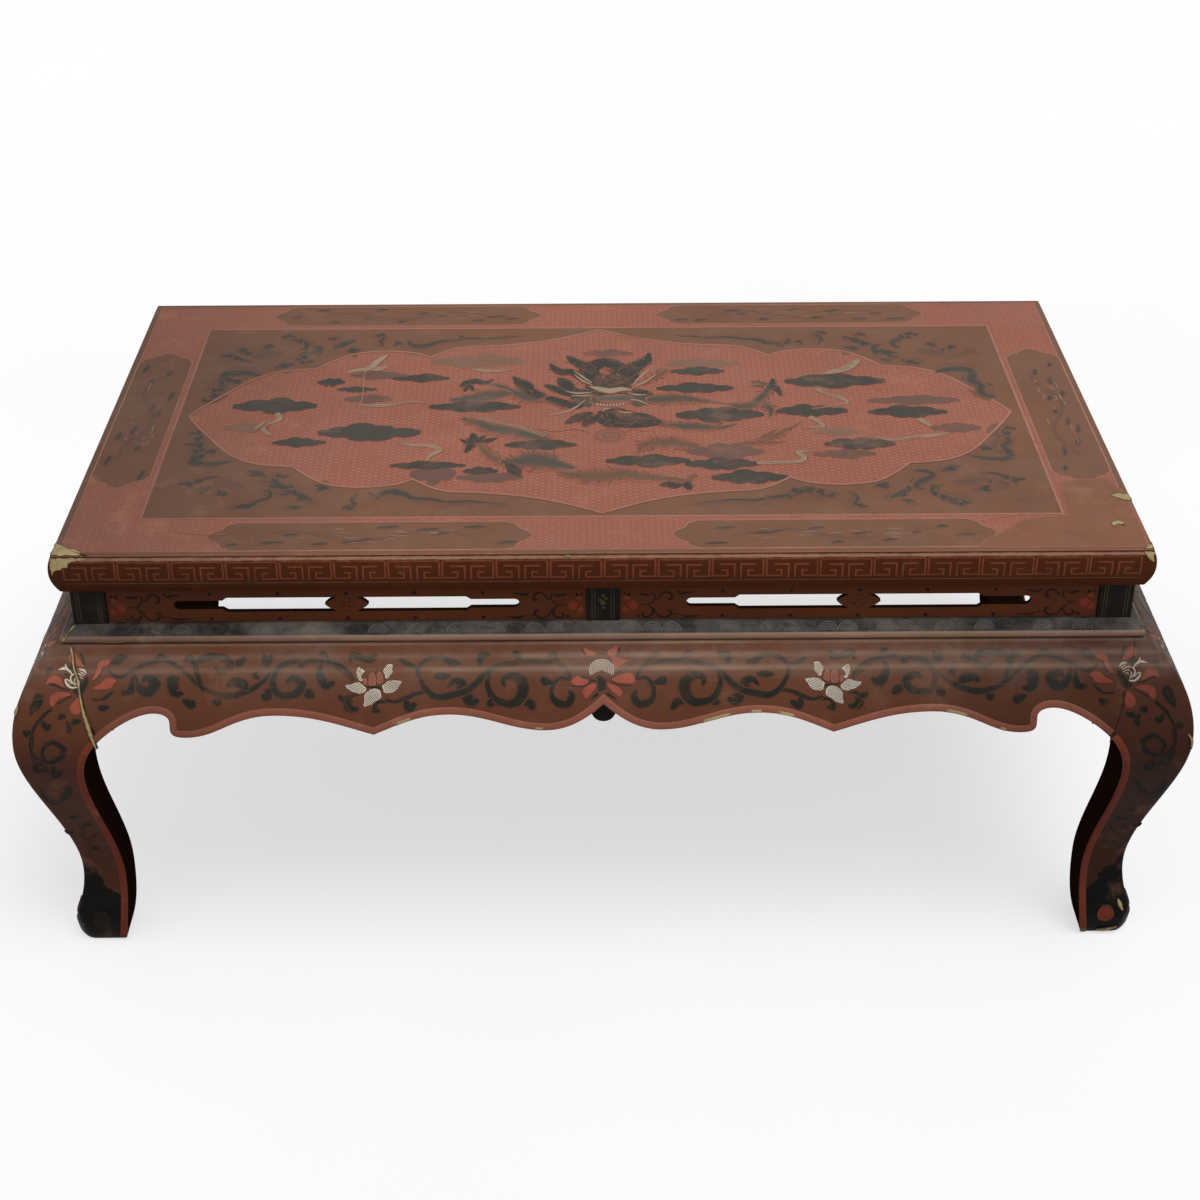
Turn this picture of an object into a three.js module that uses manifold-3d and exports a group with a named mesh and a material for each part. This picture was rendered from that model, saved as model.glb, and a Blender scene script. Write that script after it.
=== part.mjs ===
// Low table of lacquered wood on four bowed legs, with a pierced waist and shaped aprons.
// Millimetres, +Z up, +X along the table. The front faces -Y and the feet stand on z = 0.
import * as THREE from 'three';
import { mergeVertices } from 'three/addons/utils/BufferGeometryUtils.js';
import Module from 'manifold-3d';

const wasm = await Module();
wasm.setup();

// Driving dimensions of the whole table
const TOP_LENGTH = 940;
const TOP_DEPTH = 545;
const HEIGHT = 401;
const FIT = 0.3;
const PAST = 1; // how far a cutting solid runs past what it cuts

// The top: a mitred frame, a floating panel on braces, and one lacquered skin over both
const SKIN_THICKNESS = 1;
const SKIN_SETBACK = 1;
const RAIL_WIDTH = 66;
const RAIL_HEIGHT = 36.2;
const RAIL_SWELL = 2;
const RAIL_UNDERCUT = 5;
const PANEL_THICKNESS = 11;
const TONGUE_THICKNESS = 5;
const TONGUE_DEPTH = 8;
const TONGUE_DROP = 4;
const BRACE_WIDTH = 32;
const BRACE_HEIGHT = 22;
const BRACE_TENON = 12;
const BRACE_COUNT = 3;

// The waist: posts, thin pierced panels with their pin heads, and the battens behind them
const WAIST_HEIGHT = 35.8;
const POST_WIDTH = 30;
const POST_SETBACK = 10.3;
const POST_TENON = 14;
const POST_TENON_HEIGHT = 20;
const CENTRE_POST_WIDTH = 28;
const CENTRE_POST_DEPTH = 26;
const PIERCED_SETBACK = 12.3;
const PIERCED_THICKNESS = 5;
const BATTEN_DEPTH = 10;
const BATTEN_HEIGHT = 11;
const SLOT_MARGIN = 58;
const SLOT_NECK_LENGTH = 42;
const SLOT_RAMP = 4;
const SLOT_HEIGHT = 14;
const SLOT_NECK_HEIGHT = 8.5;
const SLOT_RISE = 16.8;
const ROSETTE_WIDTH = 17;
const ROSETTE_WING = 10.5;
const ROSETTE_WING_HEIGHT = 6;
const PIN_RADIUS = 1.2;
const PIN_PROUD = 0.4;
const PIN_PITCH = 59;
const PIN_COUNT = 5;
const PIN_LOW_RISE = 3;
const PIN_HIGH_DROP = 7.5;

// The moulding between waist and apron
const MOULDING_HEIGHT = 14;
const MOULDING_DEPTH = 13.7;
const MOULDING_BEAD = 7;
const MOULDING_BEAD_OUTSET = 1.5;
const MOULDING_EASING = 0.5;
const UPSTAND_HEIGHT = 5.3;
const UPSTAND_DEPTH = 6;

// The face that legs and aprons share, as outsets from the edge of the top at four heights
const SOLE_OUTSET = 14;
const TOE_OUTSET = 21;
const TOE_HEIGHT = 22;
const ANKLE_OUTSET = 9.1;
const ANKLE_HEIGHT = 78;
const KNEE_OUTSET = 44;
const KNEE_DROP = 82.4;

// The inner edge of a leg's face, as insets from the edge of the top
const SOLE_INSET = 23.5;
const SHANK_INSET = 29.5;
const SHANK_HEIGHT = 62;
const THIGH_INSET = 12.8;
const THIGH_DROP = 120.4;
const MITRE_FOOT_INSET = 28.2;
const MITRE_FOOT_DROP = 75.9;
const MITRE_HEAD_INSET = 8;
const BOSS_RADIUS = 8.5;
const BOSS_HEIGHT = 22;
const BOSS_INSET = 3;
const BOSS_PROUD = 1.6;
const TOE_AXIS_INSET = 10;
const TOE_ROUND = 38.5;
const SOLE_ROUND = 30;

// The apron: a curved board with a lobed lower edge and a raised lip along it
const APRON_THICKNESS = 22;
const LIP_WIDTH = 6.5;
const LIP_PROUD = 1.2;
const CUSP_DROP = 41.4;
const ARCH_DROP = 49.5;
const POINT_DROP = 67.6;
const CENTRE_LOBE_DROP = 64.4;
const END_LOBE_DROP = 69.4;
const HOOK_ARCH_DROP = 47;
const CENTRE_LOBE = 50;
const END_LOBE = 80;
const HOOK_REACH = 66;
const HOOK_ARCH_REACH = 52.5;
const HOOK_RADIUS = 8;
const KEY_WIDTH = 22;
const KEY_DEPTH = 24;
const KEY_DROP = 70;

// Levels that follow from the stack of pieces
const RAIL_TOP = HEIGHT - SKIN_THICKNESS - FIT;
const RAIL_BOTTOM = RAIL_TOP - RAIL_HEIGHT;
const MOULDING_TOP = RAIL_BOTTOM - WAIST_HEIGHT;
const MOULDING_BOTTOM = MOULDING_TOP - MOULDING_HEIGHT;
const APRON_TOP = MOULDING_BOTTOM - FIT;
const WAIST_BOTTOM = MOULDING_TOP + FIT;
const WAIST_TOP = RAIL_BOTTOM - FIT;
const KNEE_HEIGHT = APRON_TOP - KNEE_DROP;
const MITRE_FOOT = APRON_TOP - MITRE_FOOT_DROP;
const PIERCED_BACK = PIERCED_SETBACK + PIERCED_THICKNESS;
const POST_INSET = POST_SETBACK + POST_WIDTH;

const COLOURS = {
  topRed: 0x7a3427,
  edgeRed: 0x5a2618,
  brown: 0x5c3020,
  black: 0x17130f,
  grey: 0x3a3734,
  bareWood: 0x6b4a2c,
};

function material(colour, roughness) {
  return new THREE.MeshStandardMaterial({ color: colour, roughness, metalness: 0 });
}

// Solids: every geometry is merged to bare positions before it is cut or joined
function solid(geometry) {
  const bare = geometry.index ? geometry.toNonIndexed() : geometry.clone();
  bare.deleteAttribute('normal');
  bare.deleteAttribute('uv');
  const merged = mergeVertices(bare, 1e-4);
  const mesh = new wasm.Mesh({
    numProp: 3,
    vertProperties: new Float32Array(merged.attributes.position.array),
    triVerts: new Uint32Array(merged.index.array),
  });
  return new wasm.Manifold(mesh);
}

function geometryOf(manifold) {
  const mesh = manifold.getMesh();
  const geometry = new THREE.BufferGeometry();
  geometry.setAttribute('position', new THREE.BufferAttribute(mesh.vertProperties, 3));
  geometry.setIndex(new THREE.BufferAttribute(mesh.triVerts, 1));
  const flat = geometry.toNonIndexed();
  flat.computeVertexNormals();
  return flat;
}

const AXIS_X = new THREE.Vector3(1, 0, 0);
const AXIS_Y = new THREE.Vector3(0, 1, 0);
const AXIS_Z = new THREE.Vector3(0, 0, 1);
const TO_FRONT = new THREE.Matrix4().makeBasis(AXIS_X, AXIS_Z, AXIS_Y.clone().negate());
const TO_SECTION = new THREE.Matrix4().makeBasis(AXIS_Y, AXIS_Z, AXIS_X);

function extrusion(shape, depth) {
  return new THREE.ExtrudeGeometry(shape, { depth, bevelEnabled: false, curveSegments: 8 });
}

// An outline in x and z, as thick as y0 to y1
function alongY(shape, y0, y1) {
  return solid(extrusion(shape, y1 - y0).applyMatrix4(TO_FRONT).translate(0, y1, 0));
}

// A section in y and z, as long as x0 to x1
function alongX(shape, x0, x1) {
  return solid(extrusion(shape, x1 - x0).applyMatrix4(TO_SECTION).translate(x0, 0, 0));
}

// A plan in x and y, as high as z0 to z1
function alongZ(shape, z0, z1) {
  return solid(extrusion(shape, z1 - z0).translate(0, 0, z0));
}

function box(x0, x1, y0, y1, z0, z1) {
  const block = new THREE.BoxGeometry(x1 - x0, y1 - y0, z1 - z0);
  return solid(block.translate((x0 + x1) / 2, (y0 + y1) / 2, (z0 + z1) / 2));
}

// Points of a closed outline, without any that repeats the one before it
function outlineOf(points) {
  const apart = ([a, b], i) => {
    const [c, d] = points.at(i - 1);
    return Math.hypot(a - c, b - d) > 0.01;
  };
  return points.filter(apart).map(([a, b]) => new THREE.Vector2(a, b));
}

function shapeOf(points) {
  return new THREE.Shape(outlineOf(points));
}

function arc(x, z, radius, from, to, steps) {
  return Array.from({ length: steps + 1 }, (_, i) => {
    const angle = blend(from, to, i / steps);
    return [x + radius * Math.cos(angle), z + radius * Math.sin(angle)];
  });
}

function bezier(from, control1, control2, to, steps) {
  const corners = [from, control1, control2, to].map(([a, b]) => new THREE.Vector2(a, b));
  return new THREE.CubicBezierCurve(...corners).getPoints(steps).map((p) => [p.x, p.y]);
}

function joined(...runs) {
  return runs.reduce((all, run) => all.concat(run.slice(1)));
}

function blend(a, b, share) {
  return a + (b - a) * share;
}

// A stretch of a standing curve that leaves and arrives upright, with its middle pulled by two shares
function bow(from, to, leave, arrive, steps) {
  const rise = (share) => blend(from[1], to[1], share);
  return bezier(from, [from[0], rise(leave)], [to[0], rise(arrive)], to, steps);
}

// The S-shaped face, from the sole up to the shoulder, as [outset, height]
function facePoints(swell = 0) {
  const sole = [SOLE_OUTSET + swell, 0];
  const toe = [TOE_OUTSET + swell, TOE_HEIGHT];
  const ankle = [ANKLE_OUTSET + swell, ANKLE_HEIGHT];
  const knee = [KNEE_OUTSET + swell, KNEE_HEIGHT];
  const shoulder = [swell, APRON_TOP];
  const underToe = [blend(sole[0], toe[0], 0.75), 0];
  const frontOfToe = [blend(sole[0], toe[0], 0.88), TOE_HEIGHT * 0.36];
  const overKnee = [knee[0], blend(KNEE_HEIGHT, APRON_TOP, 0.5)];
  const overShoulder = [blend(shoulder[0], knee[0], 0.59), blend(KNEE_HEIGHT, APRON_TOP, 0.87)];
  return joined(
    bezier(sole, underToe, frontOfToe, toe, 4),
    bow(toe, ankle, 0.15, 0.43, 6),
    bow(ankle, knee, 0.29, 0.73, 7),
    bezier(knee, overKnee, overShoulder, shoulder, 8),
  );
}

// The part of the face above a height
function faceAbove(bottom, swell = 0) {
  const face = facePoints(swell);
  const first = face.findIndex(([, z]) => z > bottom);
  const [below, above] = face.slice(first - 1);
  const share = (bottom - below[1]) / (above[1] - below[1]);
  return [[blend(below[0], above[0], share), bottom], ...face.slice(first)];
}

// The inner edge of a leg's face from the sole up to the foot of the mitre, as [outset, height]
function innerPoints() {
  const sole = [-SOLE_INSET, 0];
  const shank = [-SHANK_INSET, SHANK_HEIGHT];
  const thigh = [-THIGH_INSET, APRON_TOP - THIGH_DROP];
  const mitre = [-MITRE_FOOT_INSET, MITRE_FOOT];
  const overSole = [blend(sole[0], shank[0], 0.65), SHANK_HEIGHT * 0.2];
  const overThigh = [thigh[0], blend(thigh[1], mitre[1], 0.47)];
  const underMitre = [blend(thigh[0], mitre[0], 0.4), blend(thigh[1], mitre[1], 0.75)];
  return joined(
    bezier(sole, overSole, [shank[0], SHANK_HEIGHT * 0.5], shank, 4),
    bow(shank, thigh, 0.33, 0.67, 6),
    bezier(thigh, overThigh, underMitre, mitre, 5),
  );
}

// Where the end of an apron meets the leg, as an outset at a height
function mitreOutset(z) {
  const share = (z - MITRE_FOOT) / (APRON_TOP - MITRE_FOOT);
  return blend(-MITRE_FOOT_INSET, -MITRE_HEAD_INSET, share);
}

// A side frame has x along the edge of the top, y inwards from it and z up
function mitredPlan(length, inset, outset, z0, z1) {
  const half = length / 2 - FIT / Math.SQRT2;
  return alongZ(shapeOf([
    [-half - outset, -outset],
    [half + outset, -outset],
    [half - inset, inset],
    [-half + inset, inset],
  ]), z0, z1);
}

function cornerPosts(length, z0, z1, grow) {
  const centre = length / 2 - POST_SETBACK - POST_WIDTH / 2;
  const reach = POST_WIDTH / 2 + grow;
  const y = POST_SETBACK + POST_WIDTH / 2;
  const post = (x) => box(x - reach, x + reach, y - reach, y + reach, z0, z1);
  return post(centre).add(post(-centre));
}

function topRail(length) {
  const drop = (share) => RAIL_TOP - RAIL_HEIGHT * share;
  const edge = new THREE.SplineCurve([
    new THREE.Vector2(SKIN_SETBACK, drop(0)),
    new THREE.Vector2(-RAIL_SWELL * 0.6, drop(0.16)),
    new THREE.Vector2(-RAIL_SWELL, drop(0.36)),
    new THREE.Vector2(-RAIL_SWELL * 0.7, drop(0.56)),
    new THREE.Vector2(RAIL_UNDERCUT * 0.12, drop(0.76)),
    new THREE.Vector2(RAIL_UNDERCUT * 0.8, drop(0.97)),
    new THREE.Vector2(RAIL_UNDERCUT, drop(1)),
  ]).getPoints(12).map((p) => [p.x, p.y]);
  const grooveTop = RAIL_TOP - TONGUE_DROP + FIT;
  const grooveBottom = grooveTop - TONGUE_THICKNESS - 2 * FIT;
  const section = shapeOf([
    ...edge,
    [RAIL_WIDTH, RAIL_BOTTOM],
    [RAIL_WIDTH, grooveBottom],
    [RAIL_WIDTH - TONGUE_DEPTH - FIT, grooveBottom],
    [RAIL_WIDTH - TONGUE_DEPTH - FIT, grooveTop],
    [RAIL_WIDTH, grooveTop],
    [RAIL_WIDTH, RAIL_TOP],
  ]);
  const blank = alongX(section, -length / 2 - RAIL_SWELL, length / 2 + RAIL_SWELL);
  const mortise = (x) => {
    const reach = POST_TENON / 2 + FIT;
    const y = POST_SETBACK + POST_WIDTH / 2;
    const top = RAIL_BOTTOM + POST_TENON_HEIGHT + FIT;
    return box(x - reach, x + reach, y - reach, y + reach, RAIL_BOTTOM - PAST, top);
  };
  const corner = length / 2 - POST_SETBACK - POST_WIDTH / 2;
  return blank
    .intersect(mitredPlan(length, RAIL_WIDTH + PAST, RAIL_SWELL + PAST, RAIL_BOTTOM - PAST, RAIL_TOP + PAST))
    .subtract(mortise(corner))
    .subtract(mortise(-corner));
}

// Centres of the braces along the table
function bracePlaces() {
  const clear = TOP_LENGTH - 2 * RAIL_WIDTH;
  return Array.from({ length: BRACE_COUNT }, (_, i) => -clear / 2 + (clear * (i + 1)) / (BRACE_COUNT + 1));
}

const BRACE_TOP = RAIL_TOP - PANEL_THICKNESS - FIT;
const BRACE_BOTTOM = BRACE_TOP - BRACE_HEIGHT;

function brace(grow = 0) {
  const half = TOP_DEPTH / 2 - RAIL_WIDTH + BRACE_TENON - FIT + grow;
  const reach = BRACE_WIDTH / 2 + grow;
  return box(-reach, reach, -half, half, BRACE_BOTTOM - grow, BRACE_TOP + grow);
}

function longRail() {
  const sockets = bracePlaces().map((x) => brace(FIT).translate([x, TOP_DEPTH / 2, 0]));
  return sockets.reduce((rail, socket) => rail.subtract(socket), topRail(TOP_LENGTH));
}

function floatingPanel() {
  const halfLength = TOP_LENGTH / 2 - RAIL_WIDTH - FIT;
  const halfDepth = TOP_DEPTH / 2 - RAIL_WIDTH - FIT;
  const tongueTop = RAIL_TOP - TONGUE_DROP;
  const board = box(-halfLength, halfLength, -halfDepth, halfDepth, RAIL_TOP - PANEL_THICKNESS, RAIL_TOP);
  const tongue = box(
    -halfLength - TONGUE_DEPTH + FIT, halfLength + TONGUE_DEPTH - FIT,
    -halfDepth - TONGUE_DEPTH + FIT, halfDepth + TONGUE_DEPTH - FIT,
    tongueTop - TONGUE_THICKNESS, tongueTop,
  );
  return board.add(tongue);
}

function lacquerSkin() {
  const halfLength = TOP_LENGTH / 2 - SKIN_SETBACK;
  const halfDepth = TOP_DEPTH / 2 - SKIN_SETBACK;
  return box(-halfLength, halfLength, -halfDepth, halfDepth, HEIGHT - SKIN_THICKNESS, HEIGHT);
}

// Half of the centre post's width plus clearance is where a pierced panel starts
function piercedLength(length, postWidth) {
  const clear = length / 2 - POST_INSET - postWidth / 2;
  return (postWidth ? clear : 2 * clear) - 2 * FIT;
}

// One of the two openings of a pierced panel: a neck, a ramp, a wide run and the rosette's wing
function slotHole(length) {
  const z = WAIST_BOTTOM + SLOT_RISE;
  const outer = length / 2 - SLOT_MARGIN;
  const neck = SLOT_NECK_HEIGHT / 2;
  const high = SLOT_HEIGHT / 2;
  const wide = outer - SLOT_NECK_LENGTH;
  const waist = ROSETTE_WIDTH / 2;
  const wing = ROSETTE_WING_HEIGHT / 2;
  return [
    [wide, z + neck],
    ...arc(outer - neck, z, neck, Math.PI / 2, -Math.PI / 2, 6),
    [wide, z - neck],
    [wide - SLOT_RAMP, z - high],
    [waist, z - high],
    [waist + ROSETTE_WING * 0.7, z - wing],
    [waist + ROSETTE_WING, z],
    [waist + ROSETTE_WING * 0.7, z + wing],
    [waist, z + high],
    [wide - SLOT_RAMP, z + high],
  ];
}

function pinPlaces() {
  const high = WAIST_TOP - PIN_HIGH_DROP;
  const low = WAIST_BOTTOM + PIN_LOW_RISE;
  const columns = Array.from({ length: PIN_COUNT }, (_, i) => (i - (PIN_COUNT - 1) / 2) * PIN_PITCH);
  return columns.flatMap((x) => [[x, low], [x, high]]);
}

// Heads of the pins that hold a panel to the batten above and the upstand below
function pinHeads() {
  const depth = PIN_PROUD + PIERCED_THICKNESS / 2;
  const rod = new THREE.CylinderGeometry(PIN_RADIUS, PIN_RADIUS, depth, 6);
  const head = solid(rod).translate([0, PIERCED_SETBACK - PIN_PROUD + depth / 2, 0]);
  return pinPlaces().map(([x, z]) => head.translate([x, 0, z])).reduce((all, pin) => all.add(pin));
}

function piercedPanel(length) {
  const half = length / 2;
  const board = box(-half, half, PIERCED_SETBACK, PIERCED_BACK, WAIST_BOTTOM, WAIST_TOP);
  const slot = alongY(shapeOf(slotHole(length)), PIERCED_SETBACK - PAST, PIERCED_BACK + PAST);
  return board.subtract(slot).subtract(slot.mirror([1, 0, 0])).add(pinHeads());
}

// The centre post stands between two pierced panels and runs down as a key behind the apron
function centrePost(grow = 0) {
  const half = CENTRE_POST_WIDTH / 2 + grow;
  const back = POST_SETBACK + CENTRE_POST_DEPTH + grow;
  const block = box(-half, half, POST_SETBACK - grow, back, WAIST_BOTTOM - grow, WAIST_TOP);
  const keyBottom = APRON_TOP - KEY_DROP - grow;
  const keyTop = WAIST_BOTTOM + PAST;
  const behind = APRON_THICKNESS + FIT - grow;
  const front = faceAbove(keyBottom).map(([outset, z]) => [behind - outset, z]);
  const upper = Math.max(behind, POST_SETBACK + MOULDING_DEPTH + FIT - grow);
  const section = shapeOf([
    ...front,
    [upper, APRON_TOP],
    [upper, keyTop],
    [back, keyTop],
    [back, APRON_TOP],
    [front[0][0] + KEY_DEPTH + 2 * grow, keyBottom],
  ]);
  const width = KEY_WIDTH / 2 + grow;
  const round = shapeOf([
    [width, keyTop],
    [-width, keyTop],
    ...arc(0, keyBottom + width, width, Math.PI, 2 * Math.PI, 10),
  ]);
  const key = alongX(section, -width, width).intersect(alongY(round, -KNEE_OUTSET, back + PAST));
  return block.add(key);
}

function batten(length) {
  const front = PIERCED_BACK + FIT;
  return box(-length / 2, length / 2, front, front + BATTEN_DEPTH, WAIST_TOP - BATTEN_HEIGHT, WAIST_TOP);
}

function moulding(length) {
  const back = POST_SETBACK + MOULDING_DEPTH;
  const beadTop = MOULDING_BOTTOM + MOULDING_BEAD;
  const front = PIERCED_BACK + FIT;
  const section = shapeOf([
    [back, MOULDING_BOTTOM],
    [MOULDING_BEAD_OUTSET + 2 * MOULDING_EASING, MOULDING_BOTTOM],
    [0, MOULDING_BOTTOM + MOULDING_BEAD * 0.12],
    [-MOULDING_BEAD_OUTSET, MOULDING_BOTTOM + MOULDING_BEAD * 0.4],
    [-MOULDING_BEAD_OUTSET * 0.8, MOULDING_BOTTOM + MOULDING_BEAD * 0.8],
    [MOULDING_EASING, beadTop],
    [POST_SETBACK * 0.45, blend(beadTop, MOULDING_TOP, 0.42)],
    [POST_SETBACK - MOULDING_EASING, MOULDING_TOP],
    [front, MOULDING_TOP],
    [front, MOULDING_TOP + UPSTAND_HEIGHT],
    [front + UPSTAND_DEPTH, MOULDING_TOP + UPSTAND_HEIGHT],
    [back, MOULDING_TOP + UPSTAND_HEIGHT],
  ]);
  const reach = MOULDING_BEAD_OUTSET + PAST;
  return alongX(section, -length / 2 - reach, length / 2 + reach)
    .intersect(mitredPlan(length, back + PAST, reach, MOULDING_BOTTOM - PAST, WAIST_TOP))
    .subtract(cornerPosts(length, MOULDING_BOTTOM - PAST, WAIST_TOP, FIT));
}

// A stretch of the lobed edge that leaves and arrives level
function swing(from, to, leave, arrive, steps) {
  const along = (share) => blend(from[0], to[0], share);
  return bezier(from, [along(leave), from[1]], [along(arrive), to[1]], to, steps);
}

// A stretch that leaves an arch level and runs down to a point
function dive(arch, tip) {
  const overTip = [blend(arch[0], tip[0], 0.7), blend(arch[1], tip[1], 0.55)];
  return bezier(arch, [blend(arch[0], tip[0], 0.43), arch[1]], overTip, tip, 5);
}

// The lobed lower edge of an apron from its middle to the mitre, as [x, height]: a long side's
// has a pointed lobe between its arches, a short side's one plain arch
function lobedEdge(length, isLong) {
  const end = length / 2 - MITRE_FOOT_INSET;
  const level = (drop) => APRON_TOP - drop;
  const cusp = [0, level(CUSP_DROP)];
  const firstLobe = [CENTRE_LOBE, level(CENTRE_LOBE_DROP)];
  const lastLobe = [end - END_LOBE, level(END_LOBE_DROP)];
  const hook = end - HOOK_REACH;
  const hookTop = [end - HOOK_ARCH_REACH, level(HOOK_ARCH_DROP)];
  const underCusp = [CENTRE_LOBE * 0.24, blend(cusp[1], firstLobe[1], 0.42)];
  const runs = [bezier(cusp, underCusp, [CENTRE_LOBE * 0.56, firstLobe[1]], firstLobe, 5)];
  const span = lastLobe[0] - firstLobe[0];
  if (isLong) {
    const place = (share) => firstLobe[0] + span * share;
    const near = [place(0.27), level(ARCH_DROP)];
    const point = [place(0.48), level(POINT_DROP)];
    const far = [place(0.755), level(ARCH_DROP)];
    runs.push(swing(firstLobe, near, 0.36, 0.6, 6), dive(near, point));
    runs.push(dive(far, point).reverse(), swing(far, lastLobe, 0.48, 0.65, 6));
  } else {
    const crown = [firstLobe[0] + span / 2, level(ARCH_DROP)];
    runs.push(swing(firstLobe, crown, 0.42, 0.5, 6), swing(crown, lastLobe, 0.5, 0.58, 6));
  }
  const curlTop = [hook, lastLobe[1] + HOOK_RADIUS];
  const riseFoot = [hook, hookTop[1] - HOOK_RADIUS];
  const underCurl = [hook, lastLobe[1] + HOOK_RADIUS * 0.25];
  const overRise = [hook, hookTop[1] - HOOK_RADIUS * 0.4];
  const shelf = [blend(hook, hookTop[0], 0.37), hookTop[1]];
  runs.push(bezier(lastLobe, [blend(lastLobe[0], hook, 0.7), lastLobe[1]], underCurl, curlTop, 3));
  runs.push([curlTop, ...bezier(riseFoot, overRise, shelf, hookTop, 3)]);
  const mitreFoot = [end, MITRE_FOOT];
  const overFoot = [blend(hookTop[0], end, 0.73), blend(hookTop[1], MITRE_FOOT, 0.48)];
  runs.push(bezier(hookTop, [blend(hookTop[0], end, 0.3), hookTop[1]], overFoot, mitreFoot, 6));
  return joined(...runs);
}

function mirroredEdge(half) {
  const left = half.slice(1).reverse().map(([x, z]) => [-x, z]);
  return left.concat(half);
}

// The lobed edge moved into the board by a distance, without the stretches that fold over
function movedEdge(edge, distance) {
  const moved = edge.map(([x, z], i) => {
    const before = edge[Math.max(i - 1, 0)];
    const after = edge[Math.min(i + 1, edge.length - 1)];
    const along = new THREE.Vector2(after[0] - before[0], after[1] - before[1]).normalize();
    return [x - along.y * distance, z + along.x * distance];
  });
  const clear = ([x, z]) => edge.every(([a, b]) => Math.hypot(x - a, z - b) > distance * 0.9);
  return moved.filter(clear);
}

// The board's outline above a lower edge, with ends that lean along the two mitres
function aboveEdge(edge, length) {
  const head = length / 2 - MITRE_HEAD_INSET - FIT;
  const foot = length / 2 - MITRE_FOOT_INSET - FIT;
  const inner = edge.filter(([x]) => Math.abs(x) < foot);
  return shapeOf([
    [-foot, edge[0][1]],
    ...inner,
    [foot, edge.at(-1)[1]],
    [head, APRON_TOP],
    [-head, APRON_TOP],
  ]);
}

// The curved board before its lower edge is cut
function bandSection(swell, thickness, bottom) {
  const outer = faceAbove(bottom, swell).map(([outset, z]) => [-outset, z]);
  const inner = outer.map(([y, z]) => [y + thickness + swell, z]).reverse();
  return shapeOf([...outer, ...inner]);
}

function apron(length, centreKey) {
  const edge = mirroredEdge(lobedEdge(length, Boolean(centreKey)));
  const bottom = MITRE_FOOT - LIP_WIDTH;
  const half = length / 2 + KNEE_OUTSET;
  const front = KNEE_OUTSET + LIP_PROUD + PAST;
  const plan = mitredPlan(length, POST_INSET, front, 0, APRON_TOP + PAST);
  const outline = alongY(aboveEdge(edge, length), -front, POST_INSET);
  const upper = alongY(aboveEdge(movedEdge(edge, LIP_WIDTH), length), -front, POST_INSET);
  const board = alongX(bandSection(0, APRON_THICKNESS, bottom), -half, half).intersect(outline);
  const raised = alongX(bandSection(LIP_PROUD, APRON_THICKNESS, bottom), -half, half);
  const lip = raised.intersect(outline).subtract(upper);
  let body = board.add(lip).intersect(plan)
    .subtract(cornerPosts(length, MITRE_FOOT, APRON_TOP + PAST, FIT));
  if (centreKey) body = body.subtract(centreKey);
  return body;
}

// A leg stands at a corner of the top: x outwards and y inwards, both from the corner
function legTemplate(swell) {
  const outer = facePoints(swell);
  const inner = innerPoints();
  const shelf = MITRE_FOOT + POST_INSET - MITRE_FOOT_INSET;
  return shapeOf([...outer, [-POST_INSET, APRON_TOP], [-POST_INSET, shelf], ...inner.reverse()]);
}

function lipTemplate() {
  const inner = innerPoints();
  const outer = inner.map(([outset, z]) => [outset + LIP_WIDTH, z]);
  return shapeOf([...outer, ...inner.reverse()]);
}

// Space for the end of a front apron, seen from the corner
function apronSocket() {
  const bottom = MITRE_FOOT - FIT;
  const reach = POST_INSET + PAST;
  const front = LIP_PROUD + PAST;
  const band = bandSection(front, APRON_THICKNESS + FIT, bottom);
  const limit = shapeOf([
    [-reach, bottom - PAST],
    [mitreOutset(bottom - PAST), bottom - PAST],
    [mitreOutset(APRON_TOP + PAST), APRON_TOP + PAST],
    [-reach, APRON_TOP + PAST],
  ]);
  return alongX(band, -reach, 0).intersect(alongY(limit, -KNEE_OUTSET - front - PAST, POST_INSET));
}

// The same shape on the other face of the corner, across the diagonal
function swapped(manifold) {
  return manifold.mirror([1, 1, 0]);
}

// A round tool's sweep that takes the outer corner off the toe and leaves the ankle alone
function toeRound() {
  const profile = new THREE.SplineCurve([
    new THREE.Vector2(SOLE_ROUND, 0),
    new THREE.Vector2(blend(SOLE_ROUND, TOE_ROUND, 0.6), TOE_HEIGHT * 0.22),
    new THREE.Vector2(TOE_ROUND, TOE_HEIGHT),
    new THREE.Vector2(TOE_ROUND, TOE_HEIGHT * 1.8),
    new THREE.Vector2(TOE_ROUND * 1.15, ANKLE_HEIGHT * 0.75),
  ]).getPoints(8);
  const above = new THREE.Vector2(TOE_ROUND * 3, ANKLE_HEIGHT * 0.75);
  const rim = [above, new THREE.Vector2(above.x, HEIGHT), new THREE.Vector2(0, HEIGHT)];
  const sweep = new THREE.LatheGeometry([new THREE.Vector2(0, 0), ...profile, ...rim], 40);
  return solid(sweep.rotateX(Math.PI / 2)).translate([-TOE_AXIS_INSET, TOE_AXIS_INSET, 0]);
}

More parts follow.
